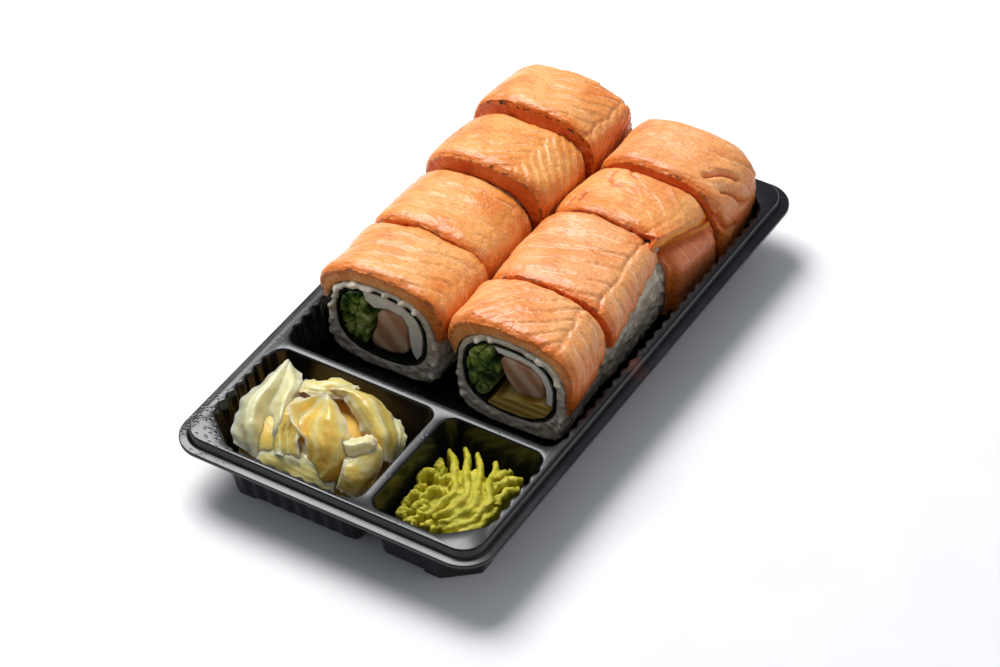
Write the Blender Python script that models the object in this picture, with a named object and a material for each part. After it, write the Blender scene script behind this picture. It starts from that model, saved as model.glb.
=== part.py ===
"""A takeaway tray of sushi: eight filled rolls under seared salmon, with ginger and wasabi.

World frame in metres: X runs across the tray, Y along it to the back and Z up.
The origin is on the ground, under the middle of the tray. The sizes below are
in millimetres, and MM turns them into metres where a mesh is made.
"""

import math
import random
from collections import namedtuple

import bmesh
import bpy
from mathutils import Vector, noise

# Driving dimensions of the whole
MM = 0.001
GAP = 0.3

# Driving dimensions of the tray
SHEET = 0.7
FLANGE = Vector((108.0, 194.0))
LAND = Vector((101.5, 187.6))
LAND_Z = 21.5
STEP_DROP = 3.0
LIP_DROP = 1.1
FOOT_DROP = 1.5
FLANGE_RADIUS = 10.5
LAND_RADIUS = 7.5
POCKET_RADIUS = 4.2
DRAFT = 2.7
RIB_PITCH = 5.0
RIB_BULGE = 0.9
RIB_POINTS = 3
RIB_SHARE_AT_FLOOR = 0.3
CORNER_CUT = Vector((11.0, 9.5))
FOOT_MARGIN = 0.35
FOOT_REACH = 18.0
FOOT_WIDTH = 5.5
FOOT_RADIUS = 1.2
FOOT_DRAFT = 0.3
FLOOR_Z = FOOT_DROP + SHEET
OVERHANG_SLOPE = 1.3
RIM_CLEARANCE = 3.5

# Pockets: left, right, front, back, corners that are cut off, and ribbed sides
Pocket = namedtuple("Pocket", "left right front back cut ribbed")
MAIN = Pocket(-46.6, 47.6, -44.8, 91.0, ("back_left", "back_right"), ("left", "right"))
GINGER_POCKET = Pocket(-46.6, 10.0, -91.2, -48.0, ("front_left",), ("left", "front"))
WASABI_POCKET = Pocket(13.6, 47.6, -91.0, -48.0, ("front_right",), ("right",))

# Rolls: place of each piece, its rice, and its salmon. Pairs run from front to back
Roll = namedtuple("Roll", "name front back middle half_width rice_top slab right_end left_end skew lean")
ROLLS = (
    Roll("a1", -24.5, 2.3, -25.0, 20.5, 35.8, (4.6, 4.2), (6, 2), 170, 0.0, (0.02, 0.02)),
    Roll("a2", 2.7, 33.6, -25.9, 18.5, 35.8, (4.4, 3.8), (2, 4), 170, 0.6, (0.02, 0.02)),
    Roll("a3", 34.0, 62.6, -25.0, 18.8, 36.4, (7.4, 5.4), (6, 2), 170, -0.8, (0.02, 0.05)),
    Roll("a4", 63.0, 88.8, -24.5, 19.4, 37.2, (7.4, 6.4), (2, 0), 170, -1.6, (0.05, 0.08)),
    Roll("b1", -26.6, -1.2, 20.7, 19.8, 36.8, (4.6, 4.2), (-2, 6), 172, 2.4, (0.04, 0.02)),
    Roll("b2", -0.8, 35.2, 19.9, 19.8, 34.8, (4.4, 3.8), (8, 34), 172, 1.4, (0.02, 0.02)),
    Roll("b3", 35.6, 61.8, 20.8, 19.4, 34.6, (4.6, 4.2), (28, 27), 172, -0.8, (0.02, 0.03)),
    Roll("b4", 62.2, 88.6, 21.6, 19.4, 35.6, (4.6, 4.2), (-18, -16), 172, -1.0, (0.03, 0.05)),
)
LAST_ROLLS = ("a4", "b4")
LAST_TAPER = 0.2
ROLL_BOTTOM = FLOOR_Z + GAP
WALL_MARGIN = 0.4
COLUMN_SEAM_X = -2.2
TIP_MARGIN_DEG = 6.0
TOP_SQUARENESS = 2.7
BOTTOM_SQUARENESS = 4.0
TIP_TAPER_DEG_PER_MM = 6.0
TIP_SHARE = 0.32
END_ROUNDING = 0.7
LAST_END_ROUNDING = 2.0
RICE_SIDES = 22
SALMON_STEPS = 13
STATIONS = (0.0, 0.12, 0.5, 0.88, 1.0)

# Nori ring inside the rice
NORI_SHEET = 0.5
NORI_SIDES = 16
NORI_HALF = Vector((16.2, 12.9))
NORI_RISE = 1.2
NORI_SQUARENESS = 2.6

# Lower slice of salmon on the side of one roll
FLAP_ROLL = "b3"
FLAP_SPAN_DEG = (25.0, -26.0)
FLAP_THICKNESS = 3.8

# Ginger: a mound in its pocket, and slices laid over it. Each slice has the points of its
# middle line, its width, the lean of its sheet in degrees and how far it cups
GINGER_MIDDLE = Vector((-18.5, -69.8))
GINGER_MOUND = Vector((25.0, 19.0, 24.5))
SLICE_SHEET = 1.3
Slice = namedtuple("Slice", "line widths lean cup")
SLICES = (
    Slice(((-39.5, -52.5, 22), (-36, -61, 25), (-36, -72, 23), (-37, -83, 15)), (5, 19, 15), -20, -1.5),
    Slice(((-36, -56, 21), (-27, -56, 25), (-17, -57, 27), (-8, -57, 26)), (8, 13, 10), 30, -1.0),
    Slice(((-30, -65, 26), (-29, -73, 25), (-27, -81, 20), (-25, -87, 15)), (5, 12, 9), 14, -2.0),
    Slice(((-18, -64, 29), (-19, -71, 28), (-15, -79, 24), (-10, -84, 17), (-15, -87, 14)),
          (3, 14, 6), -10, 2.0),
    Slice(((-13, -59, 27), (-4, -58, 27), (3, -61, 22), (6, -68, 17), (4, -76, 14)), (7, 13, 9), 24, -2.0),
    Slice(((-28, -53, 23), (-23, -53, 24), (-17, -54, 23)), (4, 6, 4), -12, 0.5),
    Slice(((-8, -70, 22), (-3, -68, 24), (1, -69, 22), (0, -72, 20)), (3, 6, 4), -30, 1.0),
    Slice(((-7, -77, 20), (-1, -75, 21), (4, -77, 18), (4, -84, 14)), (5, 9, 8), 10, -1.5),
    Slice(((-33, -86, 14), (-24, -87, 16), (-14, -87, 14), (-5, -86, 13)), (5, 8, 5), -35, 1.0),
)
SLICE_STEPS = (7, 3)
MOUND_SIDES = 20
MOUND_LEVELS = 4
MOUND_SQUARENESS = 3.0
HEAP_MARGIN = 0.7
SMOOTHING = 0.02

# Wasabi: a low mound, piped ridges that fan out from its front to its back and right, and
# small curls on its left
WASABI_MIDDLE = Vector((30.4, -70.5))
WASABI_MOUND = Vector((14.6, 18.5, 15.6))
RIDGES = 9
RIDGE_RADIUS = 1.7
RIDGE_SIDES = 5
RIDGE_STEPS = 5
FAN_MIDDLE = Vector((31.0, -68.5, 13.6))
FAN_HALF = Vector((13.4, 16.6))
FAN_SPAN_DEG = (134, -14)
FAN_TAIL = Vector((26.0, -80.0, 14.6))
FAN_TAIL_STEP = Vector((0.9, -0.7, -0.1))
CREST_RISE = 2.0
CREST_BOW = 3.4
CURLS = 6
CURL_RADIUS = 1.4
CURL_HALF = 2.4
SEED = 3

MATERIALS = {
    "black_polystyrene": ((0.012, 0.013, 0.015), 0.32),
    "seared_salmon": ((0.82, 0.34, 0.16), 0.42),
    "sushi_rice": ((0.86, 0.85, 0.80), 0.5),
    "nori": ((0.012, 0.02, 0.014), 0.55),
    "cucumber": ((0.30, 0.42, 0.09), 0.4),
    "cream_cheese": ((0.88, 0.85, 0.74), 0.5),
    "cooked_fish": ((0.80, 0.62, 0.45), 0.5),
    "omelette": ((0.80, 0.58, 0.20), 0.5),
    "pickled_ginger": ((0.86, 0.74, 0.42), 0.35),
    "wasabi_paste": ((0.52, 0.54, 0.10), 0.6),
}


def clear_scene():
    """Removes whatever the scene held before."""
    for item in list(bpy.data.objects):
        bpy.data.objects.remove(item, do_unlink=True)


def material(name):
    """Makes or finds the Principled material of that name."""
    found = bpy.data.materials.get(name)
    if found:
        return found
    made = bpy.data.materials.new(name)
    made.use_nodes = True
    colour, roughness = MATERIALS[name]
    shader = made.node_tree.nodes["Principled BSDF"]
    shader.inputs["Base Color"].default_value = (*colour, 1.0)
    shader.inputs["Roughness"].default_value = roughness
    made.diffuse_color = (*colour, 1.0)
    return made


def add_object(name, bm, surface):
    """Turns a closed bmesh into a named object with its faces pointing out."""
    bmesh.ops.triangulate(bm, faces=bm.faces)
    bmesh.ops.recalc_face_normals(bm, faces=bm.faces)
    mesh = bpy.data.meshes.new(name)
    bm.to_mesh(mesh)
    bm.free()
    made = bpy.data.objects.new(name, mesh)
    bpy.context.scene.collection.objects.link(made)
    mesh.materials.append(material(surface))
    mesh.shade_smooth()
    mesh.set_sharp_from_angle(angle=math.radians(40))
    return made


def ring(bm, points):
    """Adds a loop of vertices, given in millimetres."""
    return [bm.verts.new(Vector(p) * MM) for p in points]


def band(bm, first, second):
    """Joins two loops of as many vertices with a band of faces."""
    count = len(first)
    for i in range(count):
        j = (i + 1) % count
        bm.faces.new((first[i], first[j], second[j], second[i]))


def fill(bm, loops):
    """Fills the flat area between an outer loop and the holes in it."""
    edges = []
    for loop in loops:
        for i, vert in enumerate(loop):
            edges.append(bm.edges.get((vert, loop[(i + 1) % len(loop)])))
    bmesh.ops.triangle_fill(bm, use_beauty=True, edges=edges)


# Tray


def pocket_corners(pocket):
    """Corner points, counter-clockwise from the front left, and the sides' names."""
    sides = ("front", "right", "back", "left")
    names = ("front_left", "front_right", "back_right", "back_left")
    spots = ((pocket.left, pocket.front), (pocket.right, pocket.front),
             (pocket.right, pocket.back), (pocket.left, pocket.back))
    corners = []
    flags = []
    for i, (name, (x, y)) in enumerate(zip(names, spots)):
        ribbed = sides[i] in pocket.ribbed
        if name not in pocket.cut:
            corners.append(Vector((x, y)))
            flags.append(ribbed)
            continue
        inward_x = 1 if x == pocket.left else -1
        inward_y = 1 if y == pocket.front else -1
        along_x = Vector((x + inward_x * CORNER_CUT.x, y))
        along_y = Vector((x, y + inward_y * CORNER_CUT.y))
        pair = (along_y, along_x) if i % 2 == 0 else (along_x, along_y)
        corners.extend(pair)
        flags.extend((False, ribbed))
    return corners, flags


def outline(corners, radius, flags=None, arc_steps=3):
    """Rounds the corners of a convex outline and adds ribs to the flagged sides.

    Each point is its place, the direction out of the outline and its share of a rib.
    """
    count = len(corners)
    flags = flags or [False] * count
    arcs = []
    for i, here in enumerate(corners):
        arrive = (here - corners[i - 1]).normalized()
        leave = (corners[(i + 1) % count] - here).normalized()
        turn = arrive.angle(leave)
        reach = radius * math.tan(turn / 2)
        first = Vector((arrive.y, -arrive.x))
        last = Vector((leave.y, -leave.x))
        centre = here - arrive * reach - first * radius
        arcs.append([(centre + out * radius, out, 0.0) for out in
                     (first.slerp(last, k / arc_steps) for k in range(arc_steps + 1))])
    points = []
    for i, arc in enumerate(arcs):
        points.extend(arc)
        if not flags[i]:
            continue
        start = arc[-1][0]
        end = arcs[(i + 1) % count][0][0]
        ribs = max(1, round((end - start).length / RIB_PITCH))
        for k in range(1, RIB_POINTS * ribs):
            share = k / (RIB_POINTS * ribs)
            bulge = 0.5 - 0.5 * math.cos(2 * math.pi * ribs * share)
            points.append((start.lerp(end, share), arc[-1][1], bulge))
    return points


def level(points, inset, z, ribs=1.0):
    """Places an outline at a height, drawn in by some millimetres, with a share of its ribs."""
    placed = []
    for place, out, bulge in points:
        spot = place + out * (bulge * RIB_BULGE * ribs - inset)
        placed.append((spot.x, spot.y, z))
    return placed


def rectangle(size):
    """Corner points of a rectangle round the tray's middle."""
    x, y = size.x / 2, size.y / 2
    return [Vector((-x, -y)), Vector((x, -y)), Vector((x, y)), Vector((-x, y))]


def foot_corners(corner, side_x, side_y):
    """Outline of the pad under a cut-off corner of the floor, counter-clockwise."""
    def spot(x, y):
        return corner + Vector((side_x * x, side_y * y))
    edge = DRAFT + FOOT_MARGIN
    cut = edge * (math.sqrt(2) - 1)
    points = [spot(CORNER_CUT.x + cut, edge), spot(FOOT_REACH, edge),
              spot(FOOT_REACH, edge + FOOT_WIDTH),
              spot(edge + FOOT_WIDTH + 3, CORNER_CUT.y + 3),
              spot(edge + FOOT_WIDTH, FOOT_REACH), spot(edge, FOOT_REACH),
              spot(edge, CORNER_CUT.y + cut)]
    return points if side_x * side_y > 0 else points[::-1]


def build_tray():
    """Black thermoformed tray: one thin sheet with three pockets, a step and a flange."""
    pockets = (MAIN, GINGER_POCKET, WASABI_POCKET)
    feet = {
        MAIN: [(Vector((MAIN.left, MAIN.back)), 1, -1), (Vector((MAIN.right, MAIN.back)), -1, -1)],
        GINGER_POCKET: [(Vector((GINGER_POCKET.left, GINGER_POCKET.front)), 1, 1)],
        WASABI_POCKET: [(Vector((WASABI_POCKET.right, WASABI_POCKET.front)), -1, 1)],
    }
    bm = bmesh.new()
    rim_loops = []
    # The top skin comes first, then the bottom skin, one sheet's thickness away
    for below in (0, 1):
        drop = SHEET * below
        land_loops = []
        for pocket in pockets:
            corners, flags = pocket_corners(pocket)
            shape = outline(corners, POCKET_RADIUS, flags)
            mouth = ring(bm, level(shape, -drop, LAND_Z - drop))
            floor = ring(bm, level(shape, DRAFT - drop, FLOOR_Z - drop, RIB_SHARE_AT_FLOOR))
            band(bm, mouth, floor)
            floor_loops = [floor]
            for corner, side_x, side_y in feet[pocket]:
                pad = outline(foot_corners(corner, side_x, side_y), FOOT_RADIUS, arc_steps=1)
                edge = ring(bm, level(pad, -drop, FLOOR_Z - drop))
                sole = ring(bm, level(pad, FOOT_DRAFT - drop, FLOOR_Z - FOOT_DROP - drop))
                band(bm, edge, sole)
                fill(bm, [sole])
                floor_loops.append(edge)
            fill(bm, floor_loops)
            land_loops.append(mouth)
        step_z = LAND_Z - STEP_DROP
        steps = ((LAND, LAND_RADIUS, drop, LAND_Z - drop),
                 (LAND + Vector((0.6, 0.6)), LAND_RADIUS, drop, step_z - drop),
                 (FLANGE, FLANGE_RADIUS, drop, step_z - drop),
                 (FLANGE, FLANGE_RADIUS, drop, step_z - LIP_DROP))
        loops = []
        for size, radius, inset, z in steps:
            shape = outline(rectangle(size), radius, arc_steps=6)
            loops.append(ring(bm, level(shape, inset, z)))
        for upper, lower in zip(loops, loops[1:]):
            band(bm, upper, lower)
        fill(bm, [loops[0]] + land_loops)
        rim_loops.append(loops[-1])
    band(bm, rim_loops[0], rim_loops[1])
    return add_object("tray", bm, "black_polystyrene")


def held_inside(pocket, point, margin, rim=RIM_CLEARANCE):
    """Moves a point clear of a pocket's sloping walls, and lets it lean out above the rim."""
    x, y, z = point
    depth = min(1.0, max(0.0, (LAND_Z - z) / (LAND_Z - FLOOR_Z)))
    overhang = OVERHANG_SLOPE * max(0.0, z - LAND_Z - rim)
    inset = DRAFT * depth + margin - overhang
    spot = Vector((x, y))
    corners, _ = pocket_corners(pocket)
    for _ in range(2):
        for i, here in enumerate(corners):
            along = (corners[(i + 1) % len(corners)] - here).normalized()
            out = Vector((along.y, -along.x))
            excess = (spot - here).dot(out) + inset
            if excess > 0:
                spot = spot - out * excess
    return (spot.x, spot.y, z)


# Rolls


def rounded_square(half_width, half_height, power, angle):
    """Point of a rounded square at an angle from +X, round its own middle."""
    c, s = math.cos(angle), math.sin(angle)
    x = half_width * math.copysign(abs(c) ** (2 / power), c)
    z = half_height * math.copysign(abs(s) ** (2 / power), s)
    return x, z


def rice_middle(roll):
    """Height of the middle of a roll's section, and half the section's height."""
    half = (roll.rice_top - ROLL_BOTTOM) / 2
    return ROLL_BOTTOM + half, half


def mixed(pair, share):
    """Value at a share of the way from the first of a pair to the second."""
    return pair[0] + (pair[1] - pair[0]) * share


def along_roll(roll, share, x, z):
    """Places a point of a section at a share of the roll's length."""
    middle_z, _ = rice_middle(roll)
    y = mixed((roll.front, roll.back), share) + mixed(roll.lean, share) * (z - middle_z)
    return (x + roll.skew * (0.5 - share), y, z)


def section_point(roll, share, grow, angle):
    """Point on the roll's rice, grown by some millimetres, with slightly rounded ends."""
    middle_z, half = rice_middle(roll)
    rounding = 0.0
    if share in (0.0, 1.0):
        at_tray_end = share == 1.0 and roll.name in LAST_ROLLS
        rounding = LAST_END_ROUNDING if at_tray_end else END_ROUNDING
    out = grow - rounding
    power = TOP_SQUARENESS if math.sin(angle) > 0 else BOTTOM_SQUARENESS
    x, z = rounded_square(roll.half_width + out, half + out, power, angle)
    z = max(z + middle_z, ROLL_BOTTOM)
    return along_roll(roll, share, roll.middle + x, z)


def uneven(point, reach, size):
    """Smooth unevenness of a surface at a point."""
    return size * noise.noise(Vector(point) / reach)


def held(roll, point, margin, rim=RIM_CLEARANCE):
    """Holds a point of a roll off the tray's walls and off the other column of rolls."""
    x, y, z = held_inside(MAIN, point, WALL_MARGIN + margin, rim)
    room = GAP / 2 + margin
    x = min(x, COLUMN_SEAM_X - room) if roll.middle < COLUMN_SEAM_X else max(x, COLUMN_SEAM_X + room)
    return (x, y, z)


def slab_grow(span, deg, thickness):
    """How far a slab's outside stands off the rice, thinner towards both tips."""
    from_tip = min(deg - span[0], span[1] - deg)
    share = min(1.0, TIP_SHARE + (1 - TIP_SHARE) * from_tip / (TIP_TAPER_DEG_PER_MM * thickness))
    return GAP + thickness * math.sin(share * math.pi / 2)


def slab_cover(roll, share, angle):
    """Room that the salmon takes outside the rice at an angle, or none where it ends."""
    deg = math.degrees(angle)
    deg = deg - 360 if deg > 180 else deg
    right = mixed(roll.right_end, share)
    if not right - TIP_MARGIN_DEG < deg < roll.left_end + TIP_MARGIN_DEG:
        return 0.0
    return 3 * GAP + slab_grow((right, roll.left_end), deg, mixed(roll.slab, share))


def rice_point(roll, share, angle):
    """Point of the rice's uneven outside, kept clear of the tray and of the salmon."""
    plain = section_point(roll, share, 0.0, angle)
    dent = -abs(uneven(plain, 4.0, 1.1))
    return held(roll, section_point(roll, share, dent, angle), slab_cover(roll, share, angle))


def nori_centre(roll):
    """Middle of the nori ring in the roll's section."""
    middle_z, _ = rice_middle(roll)
    return roll.middle - 0.6, middle_z + NORI_RISE


def end_taper(roll, share):
    """Width of the nori as a share of its full width: the last rolls narrow to the back."""
    return 1 - LAST_TAPER * share if roll.name in LAST_ROLLS else 1.0


def nori_point(roll, share, shrink, angle):
    """Point on the nori ring's outside, or inside it by some millimetres."""
    x, z = rounded_square(NORI_HALF.x - shrink, NORI_HALF.y - shrink, NORI_SQUARENESS, angle)
    centre_x, centre_z = nori_centre(roll)
    return along_roll(roll, share, centre_x + x * end_taper(roll, share), centre_z + z)


def turn(count):
    """Angles round a full turn."""
    return [2 * math.pi * k / count for k in range(count)]


def build_rice(roll):
    """Band of rice round the nori, open at both cut faces."""
    angles = turn(RICE_SIDES)
    bm = bmesh.new()
    outer = [ring(bm, [rice_point(roll, share, a) for a in angles]) for share in STATIONS]
    inner = [ring(bm, [nori_point(roll, share, -GAP, a) for a in angles]) for share in (0.0, 1.0)]
    for first, second in zip(outer, outer[1:]):
        band(bm, first, second)
    band(bm, outer[0], inner[0])
    band(bm, inner[0], inner[1])
    band(bm, inner[1], outer[-1])
    return add_object(f"rice_{roll.name}", bm, "sushi_rice")


def build_nori(roll):
    """Sheet of nori round the fillings."""
    angles = turn(NORI_SIDES)
    bm = bmesh.new()
    loops = []
    for share, shrink in ((0.005, 0.0), (0.995, 0.0), (0.995, NORI_SHEET), (0.005, NORI_SHEET)):
        loops.append(ring(bm, [nori_point(roll, share, shrink, a) for a in angles]))
    for i, loop in enumerate(loops):
        band(bm, loop, loops[(i + 1) % len(loops)])
    return add_object(f"nori_{roll.name}", bm, "nori")


def build_slab(name, roll, ends, thickness, steps):
    """Slab of salmon over part of a roll's outside. Pairs run from front to back."""
    bm = bmesh.new()
    loops = []
    for share in STATIONS:
        right, left = mixed(ends[0], share), mixed(ends[1], share)
        outer = []
        inner = []
        for k in range(steps + 1):
            deg = mixed((right, left), k / steps)
            grow = slab_grow((right, left), deg, mixed(thickness, share))
            plain = section_point(roll, share, grow, math.radians(deg))
            bumpy = section_point(roll, share, grow + uneven(plain, 14.0, 0.8), math.radians(deg))
            under = section_point(roll, share, GAP, math.radians(deg))
            rim = GAP if deg > 90 else RIM_CLEARANCE
            outer.append(held(roll, bumpy, 0.0, rim))
            inner.append(held(roll, under, grow - GAP, rim))
        loops.append(ring(bm, outer + inner[::-1]))
    for first, second in zip(loops, loops[1:]):
        band(bm, first, second)
    count = steps + 1
    for loop in (loops[0], loops[-1]):
        outer, inner = loop[:count], loop[count:][::-1]
        for i in range(steps):
            bm.faces.new((outer[i], outer[i + 1], inner[i + 1], inner[i]))
    return add_object(name, bm, "seared_salmon")


def build_salmon(roll):
    """Seared slab draped over a roll, and the lower slice that one roll has."""
    ends = (roll.right_end, (roll.left_end, roll.left_end))
    build_slab(f"salmon_{roll.name}", roll, ends, roll.slab, SALMON_STEPS)
    if roll.name == FLAP_ROLL:
        top, foot = FLAP_SPAN_DEG
        ends = ((foot, foot), (top, top))
        thickness = (FLAP_THICKNESS, FLAP_THICKNESS)
        build_slab(f"salmon_lower_{roll.name}", roll, ends, thickness, SALMON_STEPS // 2)


# Fillings of each column: every outline is a list of angles and shares of the nori's inside
FILLINGS = {
    "a": {
        "green": ("cucumber", ((115, 0.98), (135, 0.98), (155, 0.98), (178, 0.98), (205, 0.98),
                               (232, 0.98), (250, 0.86), (215, 0.34), (150, 0.24), (118, 0.62))),
        "fish": ("cooked_fish", ((80, 0.60), (50, 0.66), (22, 0.62), (-8, 0.60), (-42, 0.78),
                                 (-75, 0.80), (-98, 0.80), (-110, 0.62), (170, 0.08), (98, 0.40))),
        "cheese": ("cream_cheese", ((108, 0.98), (85, 0.98), (60, 0.98), (35, 0.98), (8, 0.98),
                                    (-20, 0.98), (-36, 0.97), (-28, 0.80), (-6, 0.68), (22, 0.70),
                                    (50, 0.74), (80, 0.68), (100, 0.54), (112, 0.72))),
    },
    "b": {
        "green": ("cucumber", ((112, 0.98), (135, 0.98), (155, 0.98), (178, 0.98), (205, 0.98),
                               (232, 0.98), (236, 0.74), (200, 0.30), (150, 0.24), (116, 0.70))),
        "fish": ("cooked_fish", ((104, 0.72), (80, 0.74), (60, 0.76), (40, 0.76), (13, 0.76),
                                 (-12, 0.74), (-36, 0.40), (-67, 0.28), (160, 0.10))),
        "cheese": ("cream_cheese", ((104, 0.98), (85, 0.98), (60, 0.98), (35, 0.98), (8, 0.98),
                                    (-10, 0.97), (-10, 0.86), (13, 0.84), (40, 0.84), (60, 0.84),
                                    (80, 0.82), (102, 0.82))),
        "omelette": ("omelette", ((246, 0.98), (262, 0.98), (280, 0.98), (298, 0.98), (320, 0.98),
                                  (342, 0.98), (340, 0.76), (318, 0.58), (290, 0.50),
                                  (262, 0.56), (248, 0.76))),
    },
}


def build_filling(roll, kind, surface, shape):
    """One strip of filling, running the length of the roll."""
    centre_x, centre_z = nori_centre(roll)
    bm = bmesh.new()
    loops = []
    for share in (0.01, 0.99):
        points = []
        for deg, reach in shape:
            x, z = rounded_square(NORI_HALF.x - NORI_SHEET - GAP, NORI_HALF.y - NORI_SHEET - GAP,
                                  NORI_SQUARENESS, math.radians(deg))
            x *= end_taper(roll, share)
            points.append(along_roll(roll, share, centre_x + x * reach, centre_z + z * reach))
        loops.append(ring(bm, points))
    band(bm, loops[0], loops[1])
    for loop in loops:
        bm.faces.new(loop)
    return add_object(f"{kind}_{roll.name}", bm, surface)


# Ginger and wasabi


def smooth_line(points, share):
    """Point at a share of a smooth line through some points."""
    spots = [Vector(p) for p in points]
    spots = [spots[0] * 2 - spots[1]] + spots + [spots[-1] * 2 - spots[-2]]
    run = share * (len(points) - 1)
    k = min(int(run), len(points) - 2)
    t = run - k
    a, b, c, d = spots[k:k + 4]
    return 0.5 * ((2 * b) + (c - a) * t + (2 * a - 5 * b + 4 * c - d) * t ** 2
                  + (3 * b - a - 3 * c + d) * t ** 3)


def mound(bm, pocket, middle, size):
    """Adds a rounded mound that fills the floor of a pocket. Size is its half widths and top."""
    loops = []
    foot = FLOOR_Z + GAP
    for k in range(MOUND_LEVELS):
        reach, rise = rounded_square(1.0, 1.0, MOUND_SQUARENESS, math.pi / 2 * k / MOUND_LEVELS)
        half_x = size.x * reach
        half_y = size.y * reach
        z = foot + (size.z - foot) * rise
        points = []
        for angle in turn(MOUND_SIDES):
            x, y = rounded_square(half_x, half_y, MOUND_SQUARENESS, angle)
            points.append(held_inside(pocket, (middle.x + x, middle.y + y, z), HEAP_MARGIN))
        loops.append(ring(bm, points))
    for first, second in zip(loops, loops[1:]):
        band(bm, first, second)
    bm.faces.new(loops[0])
    peak = bm.verts.new(Vector((middle.x, middle.y, size.z)) * MM)
    for i, vert in enumerate(loops[-1]):
        bm.faces.new((vert, loops[-1][(i + 1) % MOUND_SIDES], peak))


def add_piece(collection, bm):
    """Adds a closed piece of a heap to the collection that is joined later."""
    bmesh.ops.triangulate(bm, faces=bm.faces)
    bmesh.ops.recalc_face_normals(bm, faces=bm.faces)
    mesh = bpy.data.meshes.new("piece")
    bm.to_mesh(mesh)
    bm.free()
    collection.objects.link(bpy.data.objects.new("piece", mesh))


def keep_largest(mesh):
    """Drops loose scraps and fills sealed hollows by keeping only the largest shell."""
    bm = bmesh.new()
    bm.from_mesh(mesh)
    waiting = set(bm.verts)
    shells = []
    while waiting:
        shell = set()
        front = [waiting.pop()]
        while front:
            vert = front.pop()
            shell.add(vert)
            near = {edge.other_vert(vert) for edge in vert.link_edges} & waiting
            waiting -= near
            front.extend(near)
        shells.append(shell)
    shells.sort(key=len)
    for shell in shells[:-1]:
        bmesh.ops.delete(bm, geom=list(shell), context="VERTS")
    bm.to_mesh(mesh)
    bm.free()


def join_heap(name, core, collection, surface):
    """Fuses a heap's pieces with its core into one closed solid."""
    heap = add_object(name, core, surface)
    union = heap.modifiers.new("pieces", "BOOLEAN")
    union.operation = "UNION"
    union.operand_type = "COLLECTION"
    union.collection = collection
    union.solver = "MANIFOLD"
    depsgraph = bpy.context.evaluated_depsgraph_get()
    fused = bpy.data.meshes.new_from_object(heap.evaluated_get(depsgraph))
    heap.modifiers.clear()
    heap.data = fused
    for piece in list(collection.objects):
        bpy.data.objects.remove(piece, do_unlink=True)
    bpy.data.collections.remove(collection)
    keep_largest(fused)
    fused.materials.clear()
    fused.materials.append(material(surface))
    return heap


def heading(points, share):
    """Direction of a smooth line at a share of its length."""
    behind = smooth_line(points, max(0.0, share - SMOOTHING))
    ahead = smooth_line(points, min(1.0, share + SMOOTHING))
    return (ahead - behind).normalized()


def slice_frame(piece, share):
    """Middle, sideways direction and face direction of a slice at a share of its length."""
    here = smooth_line(piece.line, share)
    tangent = heading(piece.line, share)
    level_side = tangent.cross(Vector((0, 0, 1))).normalized()
    up = level_side.cross(tangent).normalized()
    lean = math.radians(piece.lean)
    side = level_side * math.cos(lean) + up * math.sin(lean)
    return here, side, side.cross(tangent)


def slice_point(piece, share, across, face):
    """Point on one face of a slice. Across runs from -1 to 1, and face is -1 or 1."""
    here, side, out = slice_frame(piece, share)
    start, middle, end = piece.widths
    ends = start + (end - start) * share
    width = ends + (middle - (start + end) / 2) * math.sin(math.pi * share)
    lift = piece.cup * across ** 2 + face * SLICE_SHEET / 2
    spot = here + side * (across * width / 2) + out * lift
    spot.z = max(spot.z, FLOOR_Z + 2 * GAP)
    return held_inside(GINGER_POCKET, tuple(spot), HEAP_MARGIN)


def build_ginger():
    """Pickled ginger: folded slices fused over a mound."""
    core = bmesh.new()
    mound(core, GINGER_POCKET, GINGER_MIDDLE, GINGER_MOUND)
    pieces = bpy.data.collections.new("ginger_slices")
    long_steps, wide_steps = SLICE_STEPS
    for piece in SLICES:
        bm = bmesh.new()
        loops = []
        for i in range(long_steps + 1):
            share = i / long_steps
            across = [2 * j / wide_steps - 1 for j in range(wide_steps + 1)]
            top = [slice_point(piece, share, a, 1) for a in across]
            under = [slice_point(piece, share, a, -1) for a in across]
            loops.append(ring(bm, top + under[::-1]))
        for first, second in zip(loops, loops[1:]):
            band(bm, first, second)
        for loop in (loops[0], loops[-1]):
            top, under = loop[:wide_steps + 1], loop[wide_steps + 1:][::-1]
            for j in range(wide_steps):
                bm.faces.new((top[j], top[j + 1], under[j + 1], under[j]))
        add_piece(pieces, bm)
    return join_heap("ginger", core, pieces, "pickled_ginger")


def add_tube(collection, points, radius, tips):
    """Adds a piped strand through some points, tapered to a share of its radius at its tips."""
    bm = bmesh.new()
    loops = []
    for k in range(RIDGE_STEPS + 1):
        share = k / RIDGE_STEPS
        here = smooth_line(points, share)
        ahead = heading(points, share)
        side = ahead.cross(Vector((0, 0, 1))).normalized()
        up = side.cross(ahead).normalized()
        taper = tips[0] + (tips[1] - tips[0]) * share
        reach = radius * (taper + (1 - taper) * math.sin(math.pi * share))
        spots = [here + (side * math.cos(a) + up * math.sin(a)) * reach for a in turn(RIDGE_SIDES)]
        loops.append(ring(bm, [held_inside(WASABI_POCKET, tuple(p), HEAP_MARGIN) for p in spots]))
    for first, second in zip(loops, loops[1:]):
        band(bm, first, second)
    bm.faces.new(loops[0])
    bm.faces.new(loops[-1])
    add_piece(collection, bm)


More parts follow.
